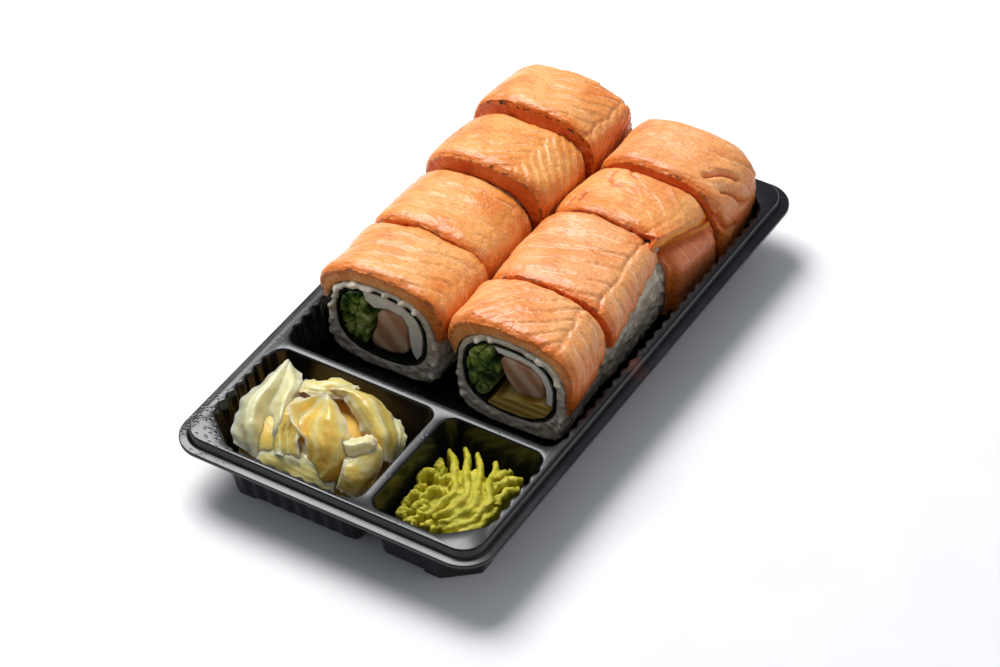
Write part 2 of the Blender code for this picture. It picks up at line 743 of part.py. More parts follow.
def build_wasabi():
    """Wasabi paste: piped ridges and curls fused over a low mound."""
    draw = random.Random(SEED)
    core = bmesh.new()
    mound(core, WASABI_POCKET, WASABI_MIDDLE, WASABI_MOUND)
    pieces = bpy.data.collections.new("wasabi_strands")
    for k in range(RIDGES):
        deg = FAN_SPAN_DEG[0] + (FAN_SPAN_DEG[1] - FAN_SPAN_DEG[0]) * k / (RIDGES - 1)
        x, y = rounded_square(FAN_HALF.x, FAN_HALF.y, 3.0, math.radians(deg))
        back = FAN_MIDDLE + Vector((x, y, draw.uniform(-0.6, 1.0)))
        tail = FAN_TAIL + FAN_TAIL_STEP * k
        crest = back.lerp(tail, 0.55) + Vector((CREST_BOW, 0, CREST_RISE))
        shoulder = back.lerp(crest, 0.5) + Vector((0, 0, CREST_RISE / 3))
        add_tube(pieces, (back, shoulder, crest, tail), RIDGE_RADIUS, (0.35, 0.5))
    for k in range(CURLS):
        share = (k + 0.5) / CURLS
        middle = Vector((draw.uniform(18.4, 21.0), -59.0 - 25.0 * share, draw.uniform(12.6, 13.6)))
        start = draw.uniform(0, 2 * math.pi)
        points = [middle + Vector((CURL_HALF * math.cos(start + a),
                                   CURL_HALF * math.sin(start + a), a / 2))
                  for a in (0.0, 1.2, 2.4, 3.6)]
        add_tube(pieces, points, CURL_RADIUS, (0.6, 0.6))
    return join_heap("wasabi", core, pieces, "wasabi_paste")


clear_scene()
build_tray()
for roll in ROLLS:
    build_rice(roll)
    build_nori(roll)
    build_salmon(roll)
    for kind, (surface, shape) in FILLINGS[roll.name[0]].items():
        build_filling(roll, kind, surface, shape)
build_ginger()
build_wasabi()
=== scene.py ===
"""Looks of a takeaway tray of sushi: rolls under seared salmon, pickled ginger and wasabi.

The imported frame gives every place. Lengths in each section are in millimetres, and MM
turns them into the frame's metres where a mesh is made.
"""

import math
import random

import bmesh
import bpy
import numpy as np
from mathutils import Matrix, Vector, noise
from mathutils.bvhtree import BVHTree


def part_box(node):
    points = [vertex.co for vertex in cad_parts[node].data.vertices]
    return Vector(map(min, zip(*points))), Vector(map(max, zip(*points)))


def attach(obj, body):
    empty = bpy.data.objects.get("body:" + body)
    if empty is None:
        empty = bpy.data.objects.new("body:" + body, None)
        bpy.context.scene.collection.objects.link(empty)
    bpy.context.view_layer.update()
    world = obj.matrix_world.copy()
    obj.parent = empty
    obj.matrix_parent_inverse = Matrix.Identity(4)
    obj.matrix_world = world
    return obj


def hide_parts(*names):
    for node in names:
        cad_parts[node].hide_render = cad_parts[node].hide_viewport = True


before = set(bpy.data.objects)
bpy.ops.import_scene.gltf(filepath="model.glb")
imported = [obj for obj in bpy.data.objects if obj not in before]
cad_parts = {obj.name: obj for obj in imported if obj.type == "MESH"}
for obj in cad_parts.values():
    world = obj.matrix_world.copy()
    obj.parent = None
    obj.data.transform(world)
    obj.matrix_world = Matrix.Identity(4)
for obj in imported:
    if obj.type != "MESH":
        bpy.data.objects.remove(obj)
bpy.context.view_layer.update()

scene = bpy.context.scene


# Camera: a long lens that looks down on the tray from its front right, as a food
# photographer would stand. Its place comes from a fit to the tray's corners.

eye = Vector((0.4090, -0.6321, 0.6855))
lens_right = Vector((0.8512, 0.5244, -0.0227))
lens_up = Vector((-0.3360, 0.5775, 0.7440))
lens_back = Vector((0.4032, -0.6257, 0.6677))
camera = bpy.data.objects.new("camera", bpy.data.cameras.new("camera"))
camera.data.lens = 118.8
camera.data.sensor_width = 36.0
camera.data.clip_start = 0.01
camera.data.clip_end = 20.0
camera.matrix_world = Matrix.Translation(eye) @ Matrix(
    (lens_right, lens_up, lens_back)).transposed().to_4x4()
scene.collection.objects.link(camera)
scene.camera = camera


# Tray: one sheet of black polystyrene, thermoformed over a mould into three pockets with
# ribbed sides, a step round the rim and a flat flange. The mould leaves every edge
# slightly rounded, and the draw thins the ribs towards the floor.

MM = 0.001
SHEET = 0.7
LAND_Z, LAND_SIZE, LAND_RADIUS = 21.5, (101.5, 187.6), 7.5
FLANGE_Z, FLANGE_SIZE, FLANGE_RADIUS = 18.5, (108.0, 194.0), 10.5
STEP_LEAN, LIP_DROP = 0.6, 1.1
FLOOR_Z = 2.2
DRAFT = 2.7
RIB_PITCH, RIB_BULGE, RIB_AT_FLOOR = 5.0, 0.9, 0.3
CORNER_CUT = Vector((11.0, 9.5))
POCKET_RADIUS = 4.2
# Radii of the bends in the sheet, from the pockets' mouths and floors to the lip
MOUTH_BEND, FLOOR_BEND, STEP_BEND, CREASE, LIP_BEND = 0.7, 0.9, 0.6, 0.5, 0.35
FOOT_CLEAR, FOOT_REACH, FOOT_WIDTH, FOOT_SLOPE, FOOT_RADIUS = 0.35, 18.0, 5.5, 3, 1.2
# How far a foot's wall is drawn in, and how far below the floor
FOOT_PROFILE = ((0.0, 0.0), (0.25, 0.3), (0.3, 1.25), (0.55, 1.5))
SQUARE = ((-1, -1), (1, -1), (1, 1), (-1, 1))
# Left, right, front and back side of each pocket, its cut-off corners, which have the feet,
# and its ribbed sides
POCKETS = {
    "main": ((-46.6, 47.6, -44.8, 91.0), ("back_left", "back_right"), ("left", "right")),
    "ginger": ((-46.6, 10.0, -91.2, -48.0), ("front_left",), ("left", "front")),
    "wasabi": ((13.6, 47.6, -91.0, -48.0), ("front_right",), ("right",)),
}


def linear(hex_code):
    """Linear colour of an sRGB hex value."""
    shares = [int(hex_code[i:i + 2], 16) / 255 for i in (1, 3, 5)]
    return [s / 12.92 if s <= 0.04045 else ((s + 0.055) / 1.055) ** 2.4 for s in shares] + [1.0]


def add(tree, kind, sockets=None, stops=(), **settings):
    """Adds a node with its settings, colour stops and sockets.

    The kind goes without its first word, ShaderNode. A socket takes a value, a node, whose
    first output is linked, or a node's output.
    """
    made = tree.nodes.new("ShaderNode" + kind)
    for key, value in settings.items():
        setattr(made, key, value)
    for k, (place, colour) in enumerate(stops):
        band = made.color_ramp.elements
        if k > 1:
            band.new(place)
        band[k].position = place
        band[k].color = linear(colour)
    for key, value in (sockets or {}).items():
        if isinstance(value, bpy.types.Node):
            value = value.outputs[0]
        if isinstance(value, bpy.types.NodeSocket):
            tree.links.new(value, made.inputs[key])
        else:
            made.inputs[key].default_value = value
    return made


def new_material(name):
    """Starts an empty material. Gives it, its node tree and its object coordinates."""
    made = bpy.data.materials.new(name)
    made.use_nodes = True
    made.node_tree.nodes.clear()
    return made, made.node_tree, add(made.node_tree, "TexCoord").outputs["Object"]


def new_piece(name, points, faces, material, smooth=True):
    """Makes a mesh object from points in millimetres."""
    mesh = bpy.data.meshes.new(name)
    mesh.from_pydata([tuple(c * MM for c in p) for p in points], [], faces)
    mesh.materials.append(material)
    if smooth:
        mesh.shade_smooth()
    made = bpy.data.objects.new(name, mesh)
    scene.collection.objects.link(made)
    return made


def pocket_corners(left, right, front, back, cut):
    """Corners of a pocket, counter-clockwise from the front left, and which sides have ribs."""
    spots = {"front_left": (left, front), "front_right": (right, front),
             "back_right": (right, back), "back_left": (left, back)}
    sides = ("front", "right", "back", "left")
    corners = []
    for i, (name, (x, y)) in enumerate(spots.items()):
        if name not in cut:
            corners.append((Vector((x, y)), sides[i]))
            continue
        inward = Vector((1 if x == left else -1, 1 if y == front else -1))
        along_x = Vector((x + inward.x * CORNER_CUT.x, y))
        along_y = Vector((x, y + inward.y * CORNER_CUT.y))
        first, last = (along_y, along_x) if i % 2 == 0 else (along_x, along_y)
        corners.extend(((first, "cut"), (last, sides[i])))
    return corners


def rounded_outline(corners, radius, ribbed=(), arc_steps=8, rib_points=10):
    """Points of an outline with round corners: place, direction out and share of a rib."""
    count = len(corners)
    arcs = []
    for i, (here, _) in enumerate(corners):
        arrive = (here - corners[i - 1][0]).normalized()
        leave = (corners[(i + 1) % count][0] - here).normalized()
        first = Vector((arrive.y, -arrive.x))
        last = Vector((leave.y, -leave.x))
        centre = here - arrive * radius * math.tan(arrive.angle(leave) / 2) - first * radius
        outs = [first.slerp(last, k / arc_steps) for k in range(arc_steps + 1)]
        arcs.append([(centre + out * radius, out, 0.0) for out in outs])
    points = []
    for i, arc in enumerate(arcs):
        points.extend(arc)
        if corners[i][1] not in ribbed:
            continue
        start, end = arc[-1][0], arcs[(i + 1) % count][0][0]
        ribs = max(1, round((end - start).length / RIB_PITCH))
        for k in range(1, rib_points * ribs):
            share = k / (rib_points * ribs)
            bulge = 0.5 - 0.5 * math.cos(2 * math.pi * ribs * share)
            points.append((start.lerp(end, share), arc[-1][1], bulge))
    return points


def loop_at(bm, outline, inset, z, ribs=1.0):
    """Adds a loop of vertices: an outline drawn in by some millimetres at a height."""
    spots = [place + out * (bulge * RIB_BULGE * ribs - inset) for place, out, bulge in outline]
    return [bm.verts.new((s.x * MM, s.y * MM, z * MM)) for s in spots]


def skirt(bm, loops):
    """Joins loops of as many vertices, one after another."""
    for first, second in zip(loops, loops[1:]):
        for i in range(len(first)):
            j = (i + 1) % len(first)
            bm.faces.new((first[i], first[j], second[j], second[i]))


def flat_fill(bm, loops):
    """Fills the flat area between loops."""
    edges = [bm.edges.get((vert, loop[(i + 1) % len(loop)]))
             for loop in loops for i, vert in enumerate(loop)]
    bmesh.ops.triangle_fill(bm, use_beauty=True, edges=edges)


def quarter(radius, steps=4):
    """Steps round a quarter circle: how far sideways and how far down."""
    swings = [math.pi / 2 * k / steps for k in range(steps + 1)]
    return [(radius * math.sin(a), radius * (1 - math.cos(a))) for a in swings]


def foot_corners(corner, side_x, side_y):
    """Corners of the foot under a cut-off corner of the floor."""
    edge = DRAFT + FOOT_CLEAR
    inner = edge + FOOT_WIDTH
    cut = edge * (math.sqrt(2) - 1)
    spots = [(CORNER_CUT.x + cut, edge), (FOOT_REACH, edge), (FOOT_REACH, inner),
             (inner + FOOT_SLOPE, CORNER_CUT.y + FOOT_SLOPE), (inner, FOOT_REACH),
             (edge, FOOT_REACH), (edge, CORNER_CUT.y + cut)]
    points = [(corner + Vector((side_x * x, side_y * y)), "foot") for x, y in spots]
    return points if side_x * side_y > 0 else points[::-1]


land_line, flange_line = (
    rounded_outline([(Vector((x * wide / 2, y * deep / 2)), "") for x, y in SQUARE], radius,
                    arc_steps=12)
    for (wide, deep), radius in ((LAND_SIZE, LAND_RADIUS), (FLANGE_SIZE, FLANGE_RADIUS)))
bm = bmesh.new()
lip_edges = []
for drop in (0.0, SHEET):
    mouths = []
    for sides, cut, ribbed in POCKETS.values():
        shape = rounded_outline(pocket_corners(*sides, cut), POCKET_RADIUS, ribbed)
        profile = [(side - MOUTH_BEND, LAND_Z - down, 1.0) for side, down in quarter(MOUTH_BEND)]
        profile += [(DRAFT + FLOOR_BEND - side, FLOOR_Z + down, RIB_AT_FLOOR)
                    for side, down in reversed(quarter(FLOOR_BEND))]
        wall = [loop_at(bm, shape, inset - drop, z - drop, ribs) for inset, z, ribs in profile]
        skirt(bm, wall)
        floor = [wall[-1]]
        for name in cut:
            side_x, x = (1, sides[0]) if "left" in name else (-1, sides[1])
            side_y, y = (1, sides[2]) if "front" in name else (-1, sides[3])
            foot = rounded_outline(foot_corners(Vector((x, y)), side_x, side_y), FOOT_RADIUS,
                                   arc_steps=3)
            rings = [loop_at(bm, foot, inset - drop, FLOOR_Z - down - drop)
                     for inset, down in FOOT_PROFILE]
            skirt(bm, rings)
            flat_fill(bm, [rings[-1]])
            floor.append(rings[0])
        flat_fill(bm, floor)
        mouths.append(wall[0])
    rims = [loop_at(bm, land_line, STEP_BEND - side + drop, LAND_Z - down - drop)
            for side, down in quarter(STEP_BEND)]
    rims += [loop_at(bm, land_line, drop - STEP_LEAN - CREASE + side, FLANGE_Z + down - drop)
             for side, down in reversed(quarter(CREASE))]
    rims += [loop_at(bm, flange_line, LIP_BEND - side + drop, FLANGE_Z - down - drop)
             for side, down in quarter(LIP_BEND)]
    rims.append(loop_at(bm, flange_line, drop, FLANGE_Z - LIP_DROP))
    skirt(bm, rims)
    flat_fill(bm, [rims[0]] + mouths)
    lip_edges.append(rims[-1])
skirt(bm, lip_edges)
bmesh.ops.recalc_face_normals(bm, faces=bm.faces)

# Black polystyrene: a soft gloss with a faint orange peel from the mould, fine scuffs, a
# smear of sauce on the right wall, and beads of water from the cold food on the front left
# corner
black_polystyrene, tree, place = new_material("black_polystyrene")
peel = add(tree, "TexNoise", {"Vector": place, "Scale": 420.0, "Detail": 3.0})
scuffs = add(tree, "TexNoise", {"Vector": place, "Scale": 60.0, "Detail": 5.0, "Roughness": 0.65})
drops = add(tree, "TexVoronoi", {"Vector": place, "Scale": 640.0})
bead = add(tree, "MapRange", {"Value": drops, "From Min": 0.40, "From Max": 0.15})
from_corner = add(tree, "VectorMath", {0: place, 1: (-0.050, -0.092, 0.0215)},
                  operation="DISTANCE").outputs["Value"]
corner_wet = add(tree, "MapRange", {"Value": from_corner, "From Min": 0.024, "From Max": 0.006})
patches = add(tree, "TexNoise", {"Vector": place, "Scale": 95.0, "Detail": 2.0})
rare_wet = add(tree, "MapRange",
               {"Value": patches, "From Min": 0.62, "From Max": 0.74, "To Max": 0.6})
wet = add(tree, "Math", {0: corner_wet, 1: rare_wet}, operation="MAXIMUM")
height = add(tree, "SeparateXYZ", {"Vector": place}).outputs["Z"]
on_top = add(tree, "MapRange", {"Value": height, "From Min": 0.0165, "From Max": 0.018})
wet = add(tree, "Math", {0: wet, 1: on_top}, operation="MULTIPLY")
beads = add(tree, "Math", {0: bead, 1: wet}, operation="MULTIPLY")
surface = add(tree, "Math", {0: peel, 1: 0.08, 2: beads}, operation="MULTIPLY_ADD")
relief = add(tree, "Bump", {"Strength": 0.45, "Distance": 0.2 * MM, "Height": surface})
gloss = add(tree, "MapRange",
            {"Value": scuffs, "From Min": 0.3, "From Max": 0.75, "To Min": 0.17, "To Max": 0.32})
tint = add(tree, "ValToRGB", {"Fac": scuffs}, ((0.35, "#08090c"), (0.7, "#0f1116")))
from_smear = add(tree, "VectorMath", {0: place, 1: (0.0495, -0.001, 0.0215)},
                 operation="DISTANCE").outputs["Value"]
smear_edge = add(tree, "Math", {0: patches, 1: 0.006, 2: from_smear}, operation="MULTIPLY_ADD")
smear = add(tree, "MapRange",
            {"Value": smear_edge, "From Min": 0.0085, "From Max": 0.0045, "To Max": 0.6})
stained = add(tree, "MixRGB", {"Fac": smear, "Color1": tint, "Color2": linear("#5a2c20")})
shader = add(tree, "BsdfPrincipled", {
    "Base Color": stained, "Roughness": gloss, "Normal": relief, "IOR": 1.59,
    "Specular IOR Level": 0.32, "Coat Weight": 0.08, "Coat Roughness": 0.08})
add(tree, "OutputMaterial", {"Surface": shader})

tray_mesh = bpy.data.meshes.new("formed_tray")
bm.to_mesh(tray_mesh)
bm.free()
tray_mesh.materials.append(black_polystyrene)
tray_mesh.shade_smooth()
tray_mesh.set_sharp_from_angle(angle=math.radians(50))
tray = bpy.data.objects.new("formed_tray", tray_mesh)
scene.collection.objects.link(tray)
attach(tray, "root")
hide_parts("tray")


# Rice: cooked short-grain rice, pressed into a band round each roll. Whole grains lie over a
# soft body wherever the band shows, and steam and pressing have half melted them together.

ROLL_NAMES = [column + str(k) for column in "ab" for k in (1, 2, 3, 4)]
GRAIN_LENGTH = 5.6
GRAIN_WIDTH = 2.7
GRAIN_SPACING = 1.75
CUT_GRAIN = 0.6
RICE_VOXEL = 0.6
# A face is cut when its normal lies this far along the roll, and part of the band's round
# when it lies no further than the second value
CUT_FACING, ROUND_FACING = 0.7, 0.3
# Grains keep this far from the edge of a cut, and salmon hides the rice this far under it
EDGE_CLEAR, LID_REACH = 1.3, 8
TOWARDS_EDGE = [Vector(way) for way in ((1, 0, 0), (-1, 0, 0), (0, 0, 1), (0, 0, -1))]


def shell_of(node):
    """Search tree over the faces of a CAD node."""
    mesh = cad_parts[node].data
    mesh.calc_loop_triangles()
    return BVHTree.FromPolygons([v.co.copy() for v in mesh.vertices],
                                [tuple(t.vertices) for t in mesh.loop_triangles])


def kept_in(points, pocket, clear=0.3):
    """Moves points that cross a pocket's walls or its cut-off corners back inside them."""
    (left, right, front, back), cut, _ = POCKETS[pocket]
    inset = DRAFT * np.clip((LAND_Z - points[:, 2]) / (LAND_Z - FLOOR_Z), 0, 1) + clear
    x = np.clip(points[:, 0], left + inset, right - inset)
    y = np.clip(points[:, 1], front + inset, back - inset)
    for name in cut:
        side_x, start_x = (-1, left) if "left" in name else (1, right)
        side_y, start_y = (-1, front) if "front" in name else (1, back)
        out = Vector((side_x * CORNER_CUT.y, side_y * CORNER_CUT.x)).normalized()
        over = (x - start_x + side_x * CORNER_CUT.x) * out.x + (y - start_y) * out.y + inset
        over = np.clip(over, 0, None)
        x, y = x - over * out.x, y - over * out.y
    return np.stack((x, y, points[:, 2]), axis=1)


def band_faces(base, rings, sides):
    """Faces that join rings of as many points, one after another."""
    return [(a, b, b + sides, a + sides)
            for start in range(base, base + (rings - 1) * sides, sides)
            for a, b in ((start + i, start + (i + 1) % sides) for i in range(sides))]


def grain_shape():
    """Points and faces of one grain: a slim egg of seven sides and five rings."""
    sides, rings = 7, 5
    points = [(-0.5, 0.0, 0.0)]
    for k in range(1, rings + 1):
        x = -0.5 + k / (rings + 1)
        radius = 0.5 * (1 - abs(2 * x) ** 2.6) ** 0.5
        points += [(x, radius * math.cos(a), radius * math.sin(a))
                   for a in (2 * math.pi * i / sides for i in range(sides))]
    points.append((0.5, 0.0, 0.0))
    faces = [(0, 1 + (i + 1) % sides, 1 + i) for i in range(sides)]
    faces += band_faces(1, rings, sides)
    last, end = 1 + (rings - 1) * sides, len(points) - 1
    faces += [(last + i, last + (i + 1) % sides, end) for i in range(sides)]
    return np.array(points), faces


def spots_on(mesh, draw, spacing, keep):
    """Evenly spread places on a mesh's faces, with their normals, where keep says yes."""
    mesh.calc_loop_triangles()
    triangles = list(mesh.loop_triangles)
    areas = [t.area for t in triangles]
    cell = spacing * MM
    taken = {}
    found = []
    tries = int(9 * sum(areas) / cell ** 2)
    for triangle in draw.choices(triangles, weights=areas, k=tries):
        a, b, c = (mesh.vertices[i].co for i in triangle.vertices)
        u, v = draw.random(), draw.random()
        if u + v > 1:
            u, v = 1 - u, 1 - v
        spot = a + (b - a) * u + (c - a) * v
        key = tuple(int(math.floor(x / cell)) for x in spot)
        near = (p for dx in (-1, 0, 1) for dy in (-1, 0, 1) for dz in (-1, 0, 1)
                for p in taken.get((key[0] + dx, key[1] + dy, key[2] + dz), ()))
        if any((p - spot).length < cell for p in near) or not keep(spot, triangle.normal):
            continue
        taken.setdefault(key, []).append(spot)
        found.append((spot, triangle.normal.copy()))
    return found


def fuse(piece, voxel):
    """Melts a mesh of overlapping bodies into one skin, and softens it."""
    material = piece.data.materials[0]
    melt = piece.modifiers.new("melt", "REMESH")
    melt.mode = "VOXEL"
    melt.voxel_size = voxel * MM
    soften = piece.modifiers.new("soften", "SMOOTH")
    soften.factor = 0.5
    soften.iterations = 1
    whole = piece.evaluated_get(bpy.context.evaluated_depsgraph_get())
    fused = bpy.data.meshes.new_from_object(whole)
    piece.modifiers.clear()
    piece.data = fused
    fused.materials.clear()
    fused.materials.append(material)
    fused.shade_smooth()


# Cooked rice: milky and translucent, with a wet starch film. Scattering under the surface
# gives the soft white, a thin coat the film, and a few flecks of flame-browned starch, and the
# gaps between grains are darkened as painted shade
cooked_rice, tree, place = new_material("cooked_rice")
cloud = add(tree, "TexNoise", {"Vector": place, "Scale": 260.0, "Detail": 3.0})
bent = add(tree, "VectorMath", {0: cloud.outputs["Color"], 1: (0.0022,) * 3, 2: place},
           operation="MULTIPLY_ADD")
grains = add(tree, "TexVoronoi", {"Vector": bent, "Scale": 370.0, "Smoothness": 0.5},
             feature="SMOOTH_F1")
pressed = add(tree, "MapRange", {"Value": grains, "From Min": 0.6, "From Max": 0.15},
              interpolation_type="SMOOTHSTEP")
milk = add(tree, "ValToRGB", {"Fac": cloud},
           ((0.3, "#d8c9b0"), (0.55, "#ecdfc8"), (0.75, "#f8f0e0")))
# Painted shade: the colour is darkened to four fifths in the gaps between grains
between = add(tree, "MapRange", {"Value": pressed, "To Min": 0.8})
milk = add(tree, "VectorMath", {0: milk, "Scale": between}, operation="SCALE")
fleck = add(tree, "TexNoise", {"Vector": place, "Scale": 520.0, "Detail": 1.0})
is_fleck = add(tree, "MapRange", {"Value": fleck, "From Min": 0.745, "From Max": 0.77})
toasted = add(tree, "MixRGB", {"Fac": is_fleck, "Color1": milk, "Color2": linear("#7a4526")})
body = add(tree, "Math", {0: cloud, 1: 0.4, 2: pressed}, operation="MULTIPLY_ADD")
relief = add(tree, "Bump", {"Strength": 0.8, "Distance": 0.5 * MM, "Height": body})
shader = add(tree, "BsdfPrincipled", {
    "Base Color": toasted, "Roughness": 0.32, "Normal": relief, "IOR": 1.4,
    "Subsurface Weight": 0.5, "Subsurface Radius": (1.0, 0.85, 0.6), "Subsurface Scale": 2.2 * MM,
    "Coat Weight": 0.35, "Coat Roughness": 0.2})
add(tree, "OutputMaterial", {"Surface": shader})

grain_points, grain_faces = grain_shape()
for number, roll in enumerate(ROLL_NAMES):
    node = f"rice_{roll}"
    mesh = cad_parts[node].data
    low, high = (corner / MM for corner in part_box(node))
    middle = (low + high) / 2
    own = shell_of(node)
    lids = [shell_of(f"salmon_{roll}")]
    if roll == "b3":
        lids.append(shell_of("salmon_lower_b3"))

    def shows(spot, normal):
        """Whether a place on the rice can be seen once the roll lies in the tray."""
        if abs(normal.y) > CUT_FACING:
            at_end = roll in (("a1", "b1") if normal.y < 0 else ("a4", "b4"))
            beside = (spot + (way * EDGE_CLEAR + normal * 0.5) * MM for way in TOWARDS_EDGE)
            return at_end and all(own.ray_cast(s, -normal, MM)[0] is not None for s in beside)
        out = Vector((spot.x / MM - middle.x, 0, spot.z / MM - middle.z))
        if abs(normal.y) > ROUND_FACING or normal.dot(out) < 0 or normal.z < -0.8:
            return False
        return all(lid.ray_cast(spot - normal * MM, normal, LID_REACH * MM)[0] is None
                   for lid in lids)

    # The band itself swells and dips, a little below the grains where it is bare
    draw = random.Random(100 + number)
    bm = bmesh.new()
    bm.from_mesh(mesh)
    bmesh.ops.remove_doubles(bm, verts=bm.verts, dist=1e-6)
    bmesh.ops.subdivide_edges(bm, edges=bm.edges, cuts=2, use_grid_fill=True)
    bm.normal_update()
    for vert in bm.verts:
        swell = noise.noise(vert.co / (3.2 * MM))
        bare = shows(vert.co, vert.normal)
        vert.co += vert.normal * (swell * 0.35 - 0.3 if bare else swell * 0.08) * MM
    bm.verts.index_update()
    points = [np.array([v.co / MM for v in bm.verts])]
    faces = [tuple(v.index for v in f.verts) for f in bm.faces]
    base = len(bm.verts)
    bm.free()
    for spot, normal in spots_on(mesh, draw, GRAIN_SPACING, shows):
        cut_face = abs(normal.y) > CUT_FACING
        along = normal.cross(Vector([draw.gauss(0, 1) for _ in range(3)])).normalized()
        along = (along + normal * draw.uniform(-0.3, 0.3)).normalized()
        side = normal.cross(along).normalized()
        size = np.array((GRAIN_LENGTH * draw.uniform(0.75, 1.1),
                         GRAIN_WIDTH * draw.uniform(0.8, 1.1),
                         GRAIN_WIDTH * draw.uniform(0.75, 0.95)))
        if cut_face:
            size[0] *= CUT_GRAIN
        shaped = grain_points * size
        shaped[:, 1] += draw.uniform(-0.6, 0.6) * (grain_points[:, 0] ** 2 * 4 - 0.5)
        depth = draw.uniform(0.75, 1.1) if cut_face else draw.uniform(0.35, 0.95)
        sunk = np.array(spot) / MM - np.array(normal) * depth
        points.append(shaped @ np.array((along, side, along.cross(side))) + sunk)
        faces += [tuple(i + base for i in face) for face in grain_faces]
        base += len(grain_points)
    points = kept_in(np.vstack(points), "main", clear=0.7)
    points[:, 2] = np.maximum(points[:, 2], FLOOR_Z + 0.3)
    piece = new_piece(f"grains_{roll}", points, faces, cooked_rice)
    fuse(piece, RICE_VOXEL)
    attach(piece, "root")
    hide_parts(node)


# Nori: the dried seaweed sheet between rice and fillings, softened by the rice. Only its
# black green edge shows at the cut ends.

# Softened nori: almost black, with a faint wet sheen and fine wrinkles
softened_nori, tree, place = new_material("softened_nori")
wrinkle = add(tree, "TexNoise", {"Vector": place, "Scale": 600.0, "Detail": 4.0})
weed = add(tree, "ValToRGB", {"Fac": wrinkle}, ((0.35, "#0c120c"), (0.7, "#26301f")))
relief = add(tree, "Bump", {"Strength": 0.5, "Distance": 0.2 * MM, "Height": wrinkle})
shader = add(tree, "BsdfPrincipled", {
    "Base Color": weed, "Roughness": 0.42, "Normal": relief, "IOR": 1.4})
add(tree, "OutputMaterial", {"Surface": shader})
for roll in ROLL_NAMES:
    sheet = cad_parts[f"nori_{roll}"]
    sheet.data.materials.clear()
    sheet.data.materials.append(softened_nori)


# Fillings: sticks of cucumber, a block of cooked fish, a strip of soft cheese and, in the
# right column, a slab of pressed omelette. All run the length of a roll and end at its cuts.

def clip(shape, spot, normal):
    """The part of a convex outline behind a line through a spot."""
    kept = []
    for i, here in enumerate(shape):
        after = shape[(i + 1) % len(shape)]
        a, b = (here - spot).dot(normal), (after - spot).dot(normal)
        if a <= 0:
            kept.append(here)
        if a * b < 0:
            kept.append(here.lerp(after, a / (a - b)))
    return kept


def smooth_corners(shape, rounds=2):
    """Cuts the corners off an outline a few times, so that they become round."""
    for _ in range(rounds):
        shape = [here.lerp(shape[(i + 1) % len(shape)], share)
                 for i, here in enumerate(shape) for share in (0.22, 0.78)]
    return shape


def strand_bundle(node, count, gap, draw, material, name, ragged=0.35):
    """Fills a filling's outline with strands that run along the roll."""
    low, high = (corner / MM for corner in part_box(node))
    corners = [v.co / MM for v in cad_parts[node].data.vertices]
    front = sorted({(round(p.x, 2), round(p.z, 2)) for p in corners if p.y < (low.y + high.y) / 2})
    middle = Vector((sum(p[0] for p in front), sum(p[1] for p in front))) / len(front)
    shape = sorted((Vector(p) for p in front),
                   key=lambda p: math.atan2(p.y - middle.y, p.x - middle.x))
    reach = max((p - middle).length for p in shape)
    seeds = []
    while len(seeds) < count:
        spot = Vector((draw.uniform(low.x, high.x), draw.uniform(low.z, high.z)))
        far = min(((spot - s).length for s in seeds), default=99.0)
        if far > 0.9 * reach / math.sqrt(count) and (spot - middle).length < 0.8 * reach:
            seeds.append(spot)
    points, faces = [], []
    for seed in seeds:
        cell = [p.copy() for p in shape]
        for other in seeds:
            if other is not seed and len(cell) > 2:
                toward = (other - seed).normalized()
                cell = clip(cell, seed.lerp(other, 0.5) - toward * gap, toward)
        if len(cell) < 3:
            continue
        cell = smooth_corners(cell)
        core = sum(cell, Vector((0, 0))) / len(cell)
        start = low.y + draw.uniform(0.05, ragged)
        end = high.y - draw.uniform(0.05, ragged)
        rings = ((start, 0.8), (start + 0.15, 0.94), (start + 0.5, 1.0), (end - 0.5, 1.0),
                 (end - 0.15, 0.94), (end, 0.8))
        base, sides = len(points), len(cell)
        for y, size in rings:
            for p in cell:
                q = core + (p - core) * size
                points.append((q.x, y, q.y))
        faces += band_faces(base, len(rings), sides)
        faces.append(tuple(base + i for i in reversed(range(sides))))
        faces.append(tuple(base + (len(rings) - 1) * sides + i for i in range(sides)))
    return new_piece(name, kept_in(np.array(points), "main", clear=0.9), faces, material)


# Cut cucumber: wet pale green flesh, dark green where skin is left on
cut_cucumber, tree, place = new_material("cut_cucumber")
stretched = add(tree, "Mapping", {"Vector": place, "Scale": (1.0, 0.05, 1.0)})
fibre = add(tree, "TexNoise", {"Vector": stretched, "Scale": 520.0, "Detail": 3.0})
skin = add(tree, "TexNoise", {"Vector": stretched, "Scale": 230.0, "Detail": 2.0})
flesh = add(tree, "ValToRGB", {"Fac": skin},
            ((0.36, "#1f380e"), (0.46, "#4d6b20"), (0.58, "#94a64c"), (0.72, "#c5ca86")))
relief = add(tree, "Bump", {"Strength": 0.6, "Distance": 0.4 * MM, "Height": fibre})
shader = add(tree, "BsdfPrincipled", {
    "Base Color": flesh, "Roughness": 0.25, "Normal": relief, "IOR": 1.36,
    "Subsurface Weight": 0.25, "Subsurface Radius": (0.6, 1.0, 0.3), "Subsurface Scale": 1.2 * MM,
    "Coat Weight": 0.4, "Coat Roughness": 0.1})
add(tree, "OutputMaterial", {"Surface": shader})

